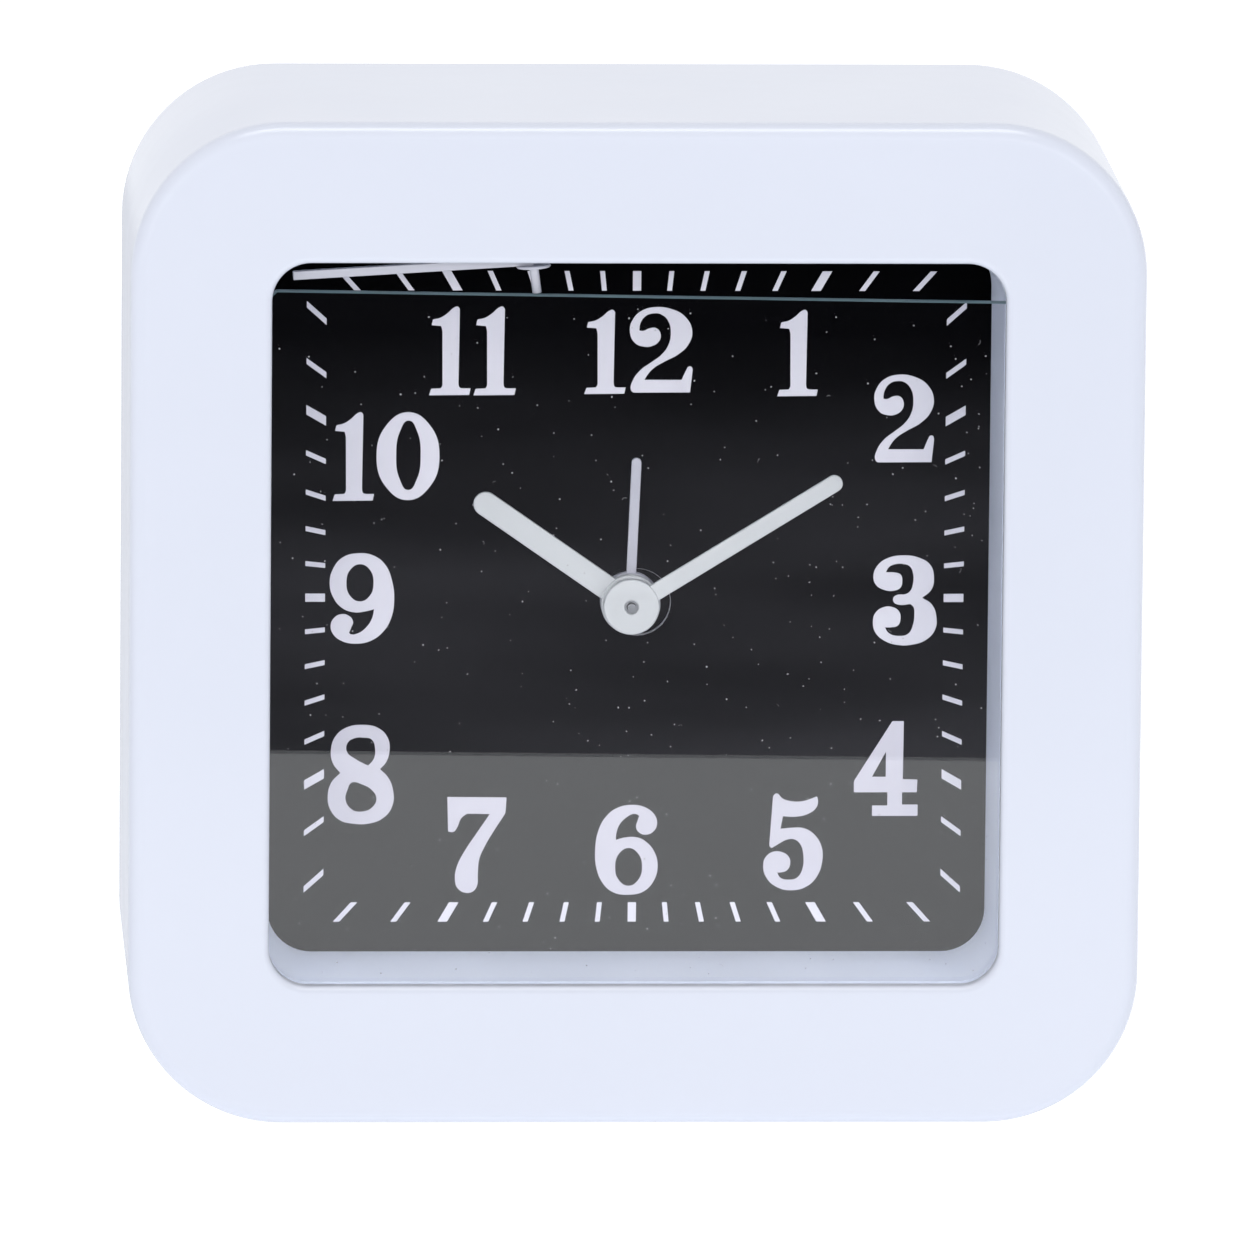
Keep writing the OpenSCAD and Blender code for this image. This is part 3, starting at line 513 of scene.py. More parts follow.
dialFront = depthOf("dial", 0)
dialForm = {"half": 41.0, "corner": 5.9, "holeR": 3.72, "holeAt": (0.9, -0.5), "cut": 0.13}
track = {"at": (0.645, -0.03), "half": 35.59, "band": 2.2, "width": 0.54, "wideWidth": 0.92}
ink = {"thick": 0.04, "sink": 0.005}


# The sheet sits a little off the hands' axis, so its hole shows as a black crescent with a pale cut rim
def makeDial():
    d = dialForm
    outlines = [roundedPoints(d["half"], d["half"], d["corner"]), circlePoints(d["holeR"], 96, d["holeAt"])]
    sheet = joined([flatPlate(outlines, dialFront, depthOf("dial", 1), d["cut"])], 0.002)
    piece = makePiece("dial_sheet", sheet, dialSheet, "clock", ["dial"])
    piece.data.materials.append(sheetEdge)
    hole = at(d["holeAt"][0], 0, d["holeAt"][1])
    for face in piece.data.polygons:
        offset = Vector((face.center.x - hole.x, 0, face.center.z - hole.z))
        cut = abs(face.normal.y) < 0.95 and offset.length < 2 * d["holeR"] * mm
        face.material_index = 1 if cut else 0


def makeTrack():
    t = track
    inputs = {"Half size": "Float", "Band": "Float", "Width": "Float", "Wide width": "Float", "Ink": "Float"}
    tree, given = geometryTree("minute_track", inputs)
    found = {name: given[name] for name in inputs}
    found["index"] = addNode(tree, "GeometryNodeInputIndex")["Index"]
    # each mark slants along its radius, with its ends cut along the square's side
    for name, kind, *values in (
            ("angle", "MULTIPLY", "index", math.pi / 30), ("across", "SINE", "angle"),
            ("up", "COSINE", "angle"), ("sideways", "ABSOLUTE", "across"), ("upwards", "ABSOLUTE", "up"),
            ("nearly", "ADD", "upwards", 1e-5), ("flat", "LESS_THAN", "sideways", "nearly"),
            ("upright", "SUBTRACT", 1.0, "flat"),
            ("longer", "MAXIMUM", "sideways", "upwards"), ("stretch", "DIVIDE", 1.0, "longer"),
            ("ofFive", "MODULO", "index", 5.0), ("wide", "LESS_THAN", "ofFive", 0.5),
            ("wider", "SUBTRACT", "Wide width", "Width"), ("extra", "MULTIPLY", "wide", "wider"),
            ("whole", "ADD", "Width", "extra"), ("edge", "MULTIPLY", "whole", "stretch"),
            ("rise", "MULTIPLY", "Band", "stretch"), ("reach", "MULTIPLY", "Half size", "stretch"),
            ("Column 1 Row 1", "MULTIPLY", "edge", "flat"), ("Column 1 Row 3", "MULTIPLY", "edge", "upright"),
            ("Column 3 Row 1", "MULTIPLY", "across", "rise"), ("Column 3 Row 3", "MULTIPLY", "up", "rise"),
            ("Column 4 Row 1", "MULTIPLY", "across", "reach"), ("Column 4 Row 3", "MULTIPLY", "up", "reach")):
        terms = {i: found.get(value, value) for i, value in enumerate(values)}
        found[name] = addNode(tree, "ShaderNodeMath", terms, operation=kind)["Value"]
    columns = {name: value for name, value in found.items() if name.startswith("Column")}
    matrix = addNode(tree, "FunctionNodeCombineMatrix", {"Column 2 Row 2": given["Ink"], **columns})
    line = addNode(tree, "GeometryNodeMeshLine", {"Count": 60, "Offset": (0, 0, 0)})
    mark = addNode(tree, "GeometryNodeMeshCube", {"Size": (1, 1, 1)})
    laid = addNode(tree, "GeometryNodeInstanceOnPoints", {
        "Points": line["Mesh"], "Instance": mark["Mesh"]})
    slanted = addNode(tree, "GeometryNodeSetInstanceTransform", {
        "Instances": laid["Instances"], "Transform": matrix["Matrix"]})
    printed = runTree(tree, slanted, dialInk, bpy.data.meshes.new("track"), {
        "Half size": t["half"] * mm, "Band": t["band"] * mm, "Width": t["width"] * mm,
        "Wide width": t["wideWidth"] * mm, "Ink": ink["thick"] * mm})
    depth = dialFront - ink["thick"] / 2 + ink["sink"]
    printed.transform(Matrix.Translation(at(t["at"][0], depth, t["at"][1])))
    makePiece("minute_track", joined([printed], 0.002), dialInk, "clock", sharpAbove=20)


corner = "corner"
# Outlines of the numbers, 100 units tall: smooth points, and corners where marked
digitShapes = {
    "0": [[(35, 100), (60, 85), (71, 50), (60, 15), (35, 0), (10, 15), (-1, 50), (10, 85)],
          [(35.5, 90.5), (45, 79), (49.5, 51), (45, 23), (35.5, 11.5), (26, 23), (21.5, 51), (26, 79)]],
    "1": [[(3, 79, corner), (4.5, 85.5, corner), (13, 87.5), (21, 92.5), (29, 99.3), (33, 100.3),
           (35.5, 97.5, corner), (34.5, 12, corner), (36, 7.5), (39.5, 6.5, corner), (48.5, 6.5, corner),
           (47, -1, corner), (0.5, -1.5, corner), (3, 6, corner), (14, 6.5, corner), (16, 10, corner),
           (15.5, 72, corner), (14, 78, corner)]],
    "2": [[(0, 73), (3.5, 86), (13, 96), (30, 101), (50, 98.5), (66, 89.5), (74.5, 73), (70.5, 57),
           (58, 44.5), (42, 36), (27, 26.5), (19, 16), (18, 14, corner), (62.5, 14, corner), (68, 26),
           (70.5, 29.8), (74, 29.5), (75.5, 26, corner), (72.5, -1, corner), (5, -1.3, corner), (2, 2),
           (4, 13), (13, 25.5), (26, 35), (38, 44), (46, 55), (49, 70), (46, 84), (38, 92), (29, 93.6),
           (19, 90.5), (12.5, 81.5), (11.3, 73, corner), (16, 72.5), (24, 75.8), (32, 75.5), (36.8, 69),
           (35.5, 61), (28, 55), (17, 53.8), (6, 58.5)]],
    "3": [[(0, 76), (4, 88), (15, 96.5), (32, 100), (52, 97), (64, 89), (68, 76), (65.5, 62),
           (55, 52.5, corner), (66, 45), (71.5, 30), (69.5, 16), (60, 5.5), (44, 0), (30, -0.5), (14, 4),
           (3, 13.5), (0, 25), (3, 36), (12, 42), (21, 42.3), (29, 37.5), (31, 29), (28, 21.5), (21, 19.5),
           (13.5, 19.5, corner), (18, 13), (30, 9.8), (40, 12.5), (45, 22), (46.5, 34), (45.5, 42),
           (42, 45.5, corner), (28, 45), (23, 48), (23, 53), (28, 56), (36, 56.5), (41.5, 60), (44.5, 68),
           (44.5, 80), (41, 87.5), (33, 90.5), (24, 90), (17, 86.5), (14, 81, corner), (24, 80.8),
           (30.5, 78.5), (32.5, 72), (30.5, 64), (23, 60.5), (12, 61.5), (3, 67)]],
    "4": [[(x, z, corner) for x, z in
           ((40, 100.5), (52, 100.5), (51.5, 39), (67, 38.5), (66.5, 25), (51, 25), (51, 12), (67.5, 12),
            (67.5, 0), (19.5, 0), (19.5, 11), (35.5, 11), (35.5, 25), (0, 25), (0, 37))],
          [(x, z, corner) for x, z in ((33.5, 68), (33.5, 41.5), (19, 41.5))]],
    "5": [[(11, 99, corner), (13.5, 100), (19, 95), (28, 92), (40, 92), (50, 95), (55, 97, corner), (56, 91),
           (54, 85), (46, 79), (34, 76), (20, 76.5, corner), (17.5, 63.5, corner), (28, 64.5), (42, 64),
           (54, 56), (60.5, 44), (61, 30), (56, 15), (46, 4.5), (30, 0), (14, 3.5), (3.5, 13), (0, 25),
           (3, 35), (11, 40), (19, 39.5), (26, 35), (28, 28.5), (25, 21), (19, 18.5), (14.5, 18.5, corner),
           (18, 13), (27, 11), (35, 13), (40.5, 22), (41.5, 35), (38.5, 47), (32, 52.5), (25, 52.5),
           (16, 48), (8.5, 43.5, corner), (6, 46, corner), (9.5, 97, corner)]],
    "6": [[(40, 100), (56, 97), (66, 89), (69, 80), (65.5, 71), (58, 67), (50, 68.5), (45.5, 75), (47, 82),
           (49, 88, corner), (44, 90), (36, 87), (27, 78), (23.5, 68), (23, 61, corner), (32, 63.5),
           (46, 64), (58, 58), (67, 46), (70, 32), (66, 16), (55, 4), (38, 0), (20, 3), (8, 14), (1.5, 30),
           (0, 50), (3, 70), (11, 86), (23, 96)],
          [(37.5, 52), (48, 46), (52.5, 31), (48, 16), (37.5, 10), (27, 16), (22.5, 31), (27, 46)]],
    "7": [[(0, 100, corner), (62, 99.5, corner), (61, 83, corner), (50, 66), (40, 49), (34, 35), (32.5, 20),
           (31.5, 6), (27, 0.5), (19, -0.5), (11.5, 4), (8.5, 14), (10.5, 27), (19, 44), (31, 62),
           (44.5, 82, corner), (21, 82.5, corner), (15, 78), (10, 67), (6.5, 63.3), (1, 63.8, corner)]],
    "8": [[(34, 101), (50, 98), (60, 88), (62, 75), (58, 62), (52.5, 56, corner), (61, 47), (66, 33),
           (65, 18), (56, 6), (40, 0), (28, 0), (12, 4), (2.5, 15), (0, 28), (3.5, 42), (12.5, 52, corner),
           (5, 62), (3, 76), (8, 90), (19, 98.5)],
          [(36, 88), (44, 86), (47.5, 76), (46, 66), (40.5, 59.5, corner), (28, 66), (19, 74), (20, 83),
           (27, 87.5)],
          [(24, 42), (35, 40), (45, 34), (49, 26), (45, 17), (34, 12.5), (24, 15), (18, 25), (20, 35)]],
    "9": [[(31, 101), (50, 98), (63, 87), (70, 70), (72.5, 50), (69, 28), (60, 13), (46, 3), (30, 0),
           (14, 3), (4, 11), (1.5, 21), (6, 29.5), (14, 33), (22, 31), (26.5, 24.5), (24.5, 18),
           (22, 12, corner), (24, 10.5), (32, 11.5), (42, 19), (48, 29), (50, 38.5, corner), (40, 36),
           (28, 35), (14, 40), (4, 52), (0, 67), (3.5, 83), (14, 96)],
          [(34, 88.8), (44.7, 83), (49.2, 68), (44.7, 53), (34, 47.2), (23.3, 53), (18.8, 68), (23.3, 83)]]}
digitWidths = {"0": 70, "1": 48, "2": 73, "3": 71, "4": 68, "5": 61, "6": 69, "7": 61, "8": 65, "9": 71}
numberShift = (0.39, -0.17)
# Each number's digits with their middle, width and height in millimetres from the dial's centre
numberPlaces = [
    ("1", -20.55, 28.0, 4.6, 9.8), ("1", -15.57, 28.0, 4.7, 9.8), ("1", -3.3, 27.9, 4.6, 9.3),
    ("2", 2.86, 28.1, 6.8, 9.4), ("1", 18.14, 27.8, 4.5, 9.55), ("2", 30.0, 20.4, 6.5, 9.66),
    ("3", 30.4, -0.1, 7.05, 10.1), ("4", 28.55, -19.2, 7.2, 10.7), ("5", 18.2, -27.5, 6.6, 11.0),
    ("6", -0.45, -28.4, 6.9, 10.2), ("7", -17.2, -27.8, 6.5, 10.8), ("8", -30.2, -19.9, 7.2, 11.1),
    ("9", -30.2, 0, 7.05, 10.1), ("1", -31.2, 16.1, 4.6, 9.8), ("0", -25.1, 16.1, 6.8, 9.9)]


def makeNumbers():
    plates = []
    for digit, x, z, width, height in numberPlaces:
        wide, tall = width / digitWidths[digit], height / 100
        left, low = x + numberShift[0] - width / 2, z + numberShift[1] - height / 2
        outlines = [[(left + p[0] * wide, low + p[1] * tall, *p[2:]) for p in outline]
                    for outline in digitShapes[digit]]
        front = dialFront - ink["thick"] + ink["sink"]
        plates.append(flatPlate(outlines, front, dialFront + ink["sink"], smooth=True))
    # the numbers take the ink that carries painted shade on the lower ones
    makePiece("dial_numbers", joined(plates), numberInkPaintedShadeLow, "clock", sharpAbove=20)


makeDial()
makeTrack()
makeNumbers()
print("dial made")

# Hands

hands = {
    "hour": {"length": 21.1, "width": 2.7, "angle": 304.85, "hub": 3.3, "hole": 1.85, "finish": handPlastic},
    "minute": {"length": 27.3, "width": 1.9, "angle": 58.2, "hub": 3.1, "hole": 0.75, "finish": handPlastic},
    "alarm": {"length": 16.2, "width": 1.1, "angle": 2.2, "hub": 3.3, "hole": 2.55, "finish": alarmPlastic}}
handForm = {"hubMm": 1.2, "bladeMm": 0.5, "bladeBack": 0.2, "root": 0.3, "edge": 0.12, "hubEdge": 0.22,
            "holeFlare": 0.16, "hubSteps": 72, "tipSteps": 16}


def makeHand(body):
    h, f = hands[body], handForm
    front, steps = depthOf(body + "_hand", 0), f["hubSteps"]
    half, root, reach = h["width"] / 2, h["hole"] + f["root"], h["length"] - h["width"] / 2
    angles = [math.pi * i / f["tipSteps"] for i in range(f["tipSteps"] + 1)]
    tip = [(half * math.cos(a), reach + half * math.sin(a)) for a in angles]
    blade = turned([(half, root)] + tip + [(-half, root)], h["angle"])
    bladeFront, hubBack = front + f["bladeBack"], front + f["hubMm"]
    parts = [flatPlate([blade], bladeFront, bladeFront + f["bladeMm"], f["edge"])]
    rings = []
    for s, d in roundSteps(5):  # hub's round front edge
        rings.append((circlePoints(h["hub"] - f["hubEdge"] * (1 - s), steps), front + f["hubEdge"] * d))
    rings.append((circlePoints(h["hub"], steps), hubBack))
    rings.append((circlePoints(h["hole"], steps), hubBack))
    for s, d in reversed(roundSteps(4)):  # flared hole
        rings.append((circlePoints(h["hole"] + f["holeFlare"] * (1 - s), steps), front + f["holeFlare"] * d))
    parts.append(loft(rings, closed=True))
    makePiece(body + "_hand_moulded", joined(parts), h["finish"], body, [body + "_hand"],
              evenFlats=True)


# The loose second hand: its tube stands on the glass's top edge and its needle lies along the window's top
secondHand = {"x": -11.2, "depth": 3.5, "foot": 36.72, "lean": 7.5, "droop": 3.6, "tubeR": 0.5, "tubeMm": 3.1,
              "footEdge": 0.08, "flare": 0.4, "flareFrom": 0.6, "discR": 1.9, "discMm": 0.3, "bar": 0.95,
              "length": 26.5, "sink": 0.2, "barSink": 0.05, "edge": 0.1}


def makeSecondHand():
    s = secondHand
    r, tall, e, lean = s["tubeR"], s["tubeMm"], s["edge"], math.radians(s["lean"])
    place = Matrix.Translation(at(s["x"], s["depth"], s["foot"]))
    neck = tall - s["flareFrom"]
    profile = [(r - s["footEdge"], 0), (r, s["footEdge"]), (r, neck)]
    profile += [(r + s["flare"] * d, neck + s["flare"] * t) for t, d in roundSteps(4)]
    tube = turnedBar(profile + [(r, tall)])
    tube.transform(place @ Matrix.Rotation(-lean, 4, "Y"))
    rise = tall * math.cos(lean) - s["sink"]
    top = place @ Matrix.Translation((-tall * math.sin(lean) * mm, 0, rise * mm))
    tilt = top @ Matrix.Rotation(math.radians(-s["droop"]), 4, "Y")
    discR, discMm = s["discR"], s["discMm"]
    disc = turnedBar([(discR - e, 0), (discR, e), (discR, discMm - e), (discR - e, discMm)], 48)
    disc.transform(tilt)
    under = discMm - s["barSink"]
    needle = roundedBlock((-s["length"], -s["bar"] / 2, under), (0, s["bar"] / 2, under + s["bar"]), e)
    needle.transform(tilt)
    makePiece("second_hand_loose", joined([tube, disc, needle], 0.0001), alarmPlastic, "clock",
              ["second_hand"], evenFlats=True)


for body in hands:
    makeHand(body)
makeSecondHand()
print("hands made")

# Back

back = {"front": 46, "rear": 48, "half": 53.8, "corner": 14.8, "ledge": 46.9, "lap": 0.01, "holeEdge": 0.14,
        "arborHole": 1.3, "screwAt": 47.55, "screwHole": 1.2, "sinkHole": 2.6}
knobs = {"time_setting": {"node": "time_knob", "at": (12.5, 0)},
         "alarm_setting": {"node": "alarm_knob", "at": (-10.18, 10.18)}}
# The knob's dish goes inward and down in steps, and a rib's ends are shares of its radius and heights
knobForm = {"front": 48.5, "tall": 6, "r": 7, "ribR": 0.42, "ribSink": 0.9, "ribs": 24, "edge": 0.7,
            "foot": 0.4, "footR": 0.6, "dishR": 0.4, "dish": ((0.5, 0.02), (0.9, 0.4), (1.3, 0.5)),
            "ribFoot": ((0.3, 0.35), (0.8, 0.5), (1, 0.75)), "ribTop": ((1, 1.05), (0.8, 0.72), (0.3, 0.5))}
# The tray's rings, from its outside over its rim to its floor: inset, corner radius and depth
tray = {"z": -36.5, "halfL": 28.35, "halfH": 8.55, "wall": 1.2, "mouthR": 0.5,
        "rings": ((0.4, 0.6, 28.55), (0, 1, 28.95), (0, 1, 46.05), (1.2, 0.5, 46.05), (1.2, 0.5, 30.05),
                  (1.5, 0.3, 29.75))}
door = {"halfL": 28.75, "halfH": 8.95, "gap": 0.2, "corner": 0.6, "edge": 0.12, "grips": 5, "gripInset": 4.8,
        "gripPitch": 1.6, "gripW": 0.8, "gripR": 0.3, "gripDepth": 0.5, "arrowAt": 5.4, "arrowTip": 1.0,
        "arrowBase": 4.4, "arrowHalf": 2.6}
# The switch's blocks are half sizes, front, rear and edge
switch = {"at": (-30, 30), "slotAt": (-28, 30), "slot": (4.15, 1.8), "slotR": 0.4, "ridgePitch": 1.1,
          "base": (9, 3.8, 44.1, 45.9, 0.25), "key": (2, 1.65, 45.7, 49.1, 0.3),
          "ridge": (0.28, 1.45, 48.7, 49.4, 0.2)}
soundSlots = {"at": (37.5, 36), "count": 5, "pitch": 3.2, "halfL": 6, "halfW": 0.7, "roundness": 0.98}


def rectPoints(halfW, halfH, middle, radius):
    return roundedPoints(halfW, halfH, radius, 4, 1, middle)


# A rectangle of the battery's tray or door
def trayPoints(halfL, halfH, radius):
    return rectPoints(halfL, halfH, (0, tray["z"]), radius)


def makeBackCover():
    b, s, t, d = back, soundSlots, tray, door
    outer = roundedPoints(b["half"], b["half"], b["corner"], 24)
    screws = [(x * b["screwAt"], z * b["screwAt"]) for x in (-1, 1) for z in (-1, 1)]
    through = [circlePoints(b["arborHole"], 32, k["at"]) for k in knobs.values()]
    through.append(rectPoints(*switch["slot"], switch["slotAt"], switch["slotR"]))
    for i in range(s["count"]):
        middle = (s["at"][0], s["at"][1] + (i - (s["count"] - 1) / 2) * s["pitch"])
        through.append(rectPoints(s["halfL"], s["halfW"], middle, s["halfW"] * s["roundness"]))
    inside = trayPoints(t["halfL"] - t["wall"], t["halfH"] - t["wall"], t["mouthR"])
    seat = trayPoints(d["halfL"] + d["gap"], d["halfH"] + d["gap"], d["corner"])
    narrow = [circlePoints(b["screwHole"], 24, p) for p in screws]
    sunk = [circlePoints(b["sinkHole"], 48, p) for p in screws]
    low = flatPlate([outer, inside] + through + narrow, b["front"], b["ledge"] + b["lap"])
    high = flatPlate([outer, seat] + through + sunk, b["ledge"], b["rear"], b["holeEdge"])
    rings = [(trayPoints(t["halfL"] - inset, t["halfH"] - inset, radius), depth)
             for inset, radius, depth in t["rings"]]
    mesh = joined([low, high, loft(rings)])
    makePiece("cover_plate", mesh, caseAbs, "clock", ["back_cover"], evenFlats=True)


def makeDoor():
    d, z = door, tray["z"]
    outer = trayPoints(d["halfL"], d["halfH"], d["corner"])
    first = d["halfL"] - d["gripInset"]
    grips = [rectPoints(d["gripW"] / 2, d["halfH"] / 2, (first - i * d["gripPitch"], z), d["gripR"])
             for i in range(d["grips"])]
    floorDepth = back["rear"] - d["gripDepth"]
    start = first - d["arrowAt"] * d["gripPitch"]
    base, half = start - d["arrowBase"], d["arrowHalf"]
    arrow = [(base, z - half), (start - d["arrowTip"], z), (base, z + half)]
    parts = [flatPlate([outer], back["ledge"], floorDepth + back["lap"]),
             flatPlate([outer, arrow] + grips, floorDepth, back["rear"], d["edge"])]
    makePiece("door_plate", joined(parts), caseAbs, "battery_door", ["battery_door"],
              evenFlats=True)


def makeKnob(body):
    k, f = knobs[body], knobForm
    ribR, e, tall = f["ribR"], f["edge"], f["tall"]
    r = f["r"] - ribR * f["ribSink"]
    profile = [(f["footR"], 0), (r - f["foot"], 0), (r, f["foot"]), (r, tall - e)]
    profile += [(r - e * d, tall - e + e * s) for s, d in roundSteps(5)]
    profile += [(r - e - inward, tall - down) for inward, down in f["dish"]]
    profile.append((f["dishR"], tall - f["dish"][-1][1]))
    tree, given = geometryTree("knob_ribs_" + body, {"Ribs": "Int", "Radius": "Float"})
    circle = addNode(tree, "GeometryNodeMeshCircle", {"Vertices": given["Ribs"], "Radius": given["Radius"]})
    laid = addNode(tree, "GeometryNodeInstanceOnPoints", {
        "Points": circle["Mesh"], "Instance": given["Geometry"]})
    rib = turnedBar([(ribR * share, z) for share, z in f["ribFoot"]]
                    + [(ribR * share, tall - z) for share, z in f["ribTop"]], 10)
    ribs = runTree(tree, laid, caseAbs, rib, {"Ribs": f["ribs"], "Radius": (f["r"] - ribR) * mm})
    mesh = joined([turnedBar(profile, 96), ribs])
    upright = Matrix.Rotation(-math.pi / 2, 4, "X")
    mesh.transform(Matrix.Translation(at(k["at"][0], f["front"], k["at"][1])) @ upright)
    makePiece(k["node"] + "_moulded", mesh, caseAbs, body, [k["node"]], evenFlats=True)


def makeSwitch():
    s = switch
    x, z = s["at"]

    def block(halfW, halfH, front, rear, edge, shift=0):
        return roundedBlock((x + shift - halfW, front, z - halfH), (x + shift + halfW, rear, z + halfH), edge)

    parts = [block(*s["base"]), block(*s["key"])]
    parts += [block(*s["ridge"], i * s["ridgePitch"]) for i in (-1, 0, 1)]
    mesh = joined(parts, 0.0001)
    mesh.transform(Matrix.Translation(at(0, 0, 0)))
    makePiece("switch_key", mesh, greyAbs, "alarm_switch", ["alarm_switch"], evenFlats=True)


caseScrew = {"r": 2.4, "slot": 0.36, "arm": 1.56, "front": 46.9, "slotFloor": 47.4, "rear": 48, "edge": 0.1,
             "underEdge": 0.04, "shank": ((0.5, 0), (1.2, 0.8), (1.2, 11)), "tip": 36, "seed": 3}


# Pan heads with a cross recess, each stopped at its own turn
def makeScrews():
    c = caseScrew
    w, a = c["slot"], c["arm"]
    arms = [(w, w), (w, a), (-w, a), (-w, w), (-a, w), (-a, -w)]
    arms += [(-x, -z) for x, z in arms]
    rim = circlePoints(c["r"], 48)
    head = [flatPlate([rim], c["front"], c["slotFloor"] + back["lap"], c["underEdge"]),
            flatPlate([rim, arms], c["slotFloor"], c["rear"], c["edge"])]
    shank = turnedBar(c["shank"], 24)
    shank.transform(Matrix.Translation(at(0, c["tip"], 0)) @ Matrix.Rotation(-math.pi / 2, 4, "X"))
    mesh = joined(head + [shank])
    mesh.transform(Matrix.Translation(-at(0, 0, 0)))
    tree, given = geometryTree("case_screw_places", {"Spread": "Float", "Seed": "Int"})
    corners = addNode(tree, "GeometryNodeMeshGrid", {
        "Vertices X": 2, "Vertices Y": 2, "Size X": given["Spread"], "Size Y": given["Spread"]})
    upright = addNode(tree, "GeometryNodeTransform", {
        "Geometry": corners["Mesh"], "Rotation": (math.pi / 2, 0, 0)})
    turn = addNode(tree, "FunctionNodeRandomValue", {
        "Min": (0, 0, 0), "Max": (0, 1.5, 0), "Seed": given["Seed"]}, data_type="FLOAT_VECTOR")
    laid = addNode(tree, "GeometryNodeInstanceOnPoints", {
        "Points": upright["Geometry"], "Instance": given["Geometry"], "Rotation": turn["Value"]})
    screws = runTree(tree, laid, zincSteel, mesh, {"Spread": 2 * back["screwAt"] * mm, "Seed": c["seed"]})
    screws.transform(Matrix.Translation(at(0, 0, 0)))
    makePiece("case_screws_pan_head", joined([screws], 0.0001), zincSteel, "clock", ["case_screws"])


marks = {"rise": 0.06, "sink": 0.03, "arrowR": 10, "arrowW": 0.55, "arrowFrom": 205, "arrowTo": 250,
         "arrowHead": 8, "iconUp": 13, "faceR": 2, "faceIn": 1.65, "clapperR": 0.42, "clapperDrop": 1.6,
         "longHand": ((-0.15, -0.15), (0.15, -0.15), (0.15, 1.2), (-0.15, 1.2)),
         "shortHand": ((-1, -0.15), (0, -0.15), (0, 0.15), (-1, 0.15)),
         "bell": ((-1.9, -1.1), (1.9, -1.1), (1.35, -0.5), (1.2, 0.6), (0.75, 1.35), (0, 1.65), (-0.75, 1.35),
                  (-1.2, 0.6), (-1.35, -0.5)),
         "letterMm": 3.2, "words": {"ON": (-19, 30), "OFF": (-38.5, 30)}}


# A printed arrow that runs round a knob, clockwise as the back is seen
def arrowPoints(middle, steps=20):
    m = marks
    radius, width = m["arrowR"], m["arrowW"]
    sweep = m["arrowTo"] - m["arrowFrom"]
    angles = [math.radians(m["arrowFrom"] + sweep * i / steps) for i in range(steps + 1)]
    end, tip = angles[-1], math.radians(m["arrowTo"] + m["arrowHead"])
    places = [(radius + width / 2, a) for a in angles]
    places += [(radius + width * 1.6, end), (radius, tip), (radius - width * 1.6, end)]
    places += [(radius - width / 2, a) for a in reversed(angles)]
    return [(middle[0] + r * math.cos(a), middle[1] + r * math.sin(a)) for r, a in places]


# Letters on the back read from behind, so they are turned round before their place is applied
def letterMesh(word, middle):
    letters = bpy.data.curves.new("letters", "FONT")
    letters.body = word
    letters.size = marks["letterMm"] * mm
    letters.align_x, letters.align_y = "CENTER", "CENTER"
    letters.extrude = marks["rise"] / 2 * mm
    mesh = plainMesh(addObject("letters", letters))
    depth = back["rear"] + marks["rise"] / 2 - marks["sink"]
    facing = Matrix.Rotation(math.pi, 4, "Z") @ Matrix.Rotation(math.pi / 2, 4, "X")
    mesh.transform(Matrix.Translation(at(middle[0], depth, middle[1])) @ facing)
    return mesh


def makeMarks():
    m = marks
    outlines = [[arrowPoints(k["at"])] for k in knobs.values()]
    # a small clock face by the time knob and a small bell by the alarm knob
    face, bell = ((k["at"][0], k["at"][1] + m["iconUp"]) for k in knobs.values())
    outlines.append([circlePoints(m["faceR"], 40, face), circlePoints(m["faceIn"], 40, face)])
    for shape, middle in ((m["longHand"], face), (m["shortHand"], face), (m["bell"], bell)):
        outlines.append([[(middle[0] + x, middle[1] + z) for x, z in shape]])
    outlines.append([circlePoints(m["clapperR"], 20, (bell[0], bell[1] - m["clapperDrop"]))])
    rear = back["rear"] - m["sink"]
    parts = [flatPlate(outline, rear, rear + m["rise"]) for outline in outlines]
    parts += [letterMesh(word, middle) for word, middle in m["words"].items()]
    makePiece("cover_marks", joined(parts, 0.0002), padPrint, "clock", sharpAbove=20)


makeBackCover()
makeDoor()
for body in knobs:
    makeKnob(body)
makeSwitch()
makeScrews()
makeMarks()
print("back made")

# Carried-over nodes take their real materials

nodeFinish = {
    gearAcetal: ["alarm_wheel", "hour_wheel", "center_wheel", "motion_wheel", "third_wheel",
                 "intermediate_wheel", "alarm_pinion", "coil_bobbin"],
    turnedBrass: ["alarm_contact"],
    zincSteel: ["minute_pipe", "seconds_wheel", "stator", "quartz_crystal", "positive_contact",
                "negative_contact", "frame_screws", "movement_screws", "box_screws"],
    blackStyrene: ["movement_plate", "movement_box", "chip_cap", "buzzer", "center_bush"],
    ferrite: ["rotor"], coilCopper: ["coil_winding"], boardLaminate: ["circuit_board"],
    cellSleeve: ["battery"]}
for finish, names in nodeFinish.items():
    for name in names:
        nodes[name].data.materials.clear()
        nodes[name].data.materials.append(finish)
print("inner pieces painted")

# Stage, in metres

stage = {"floorHalf": 4.0, "floorDrop": 0.0002, "paleLeft": 0.221, "paleRight": 0.209, "spread": 0.1,
         "flagHalf": 1, "flagDepth": 3.0, "fadeFrom": 0.55, "lift": 0.002, "cardLeft": -0.4,
         "cardGap": 0.0005, "cardFront": -0.01, "cardBack": 0.9}


def stagePlane(name, corners, z, finish):
    mesh = bpy.data.meshes.new(name)
    mesh.from_pydata([(x, y, z) for x, y in corners], [], [(0, 1, 2, 3)])
    mesh.materials.append(finish)
    plane = addObject(name, mesh)
    return plane


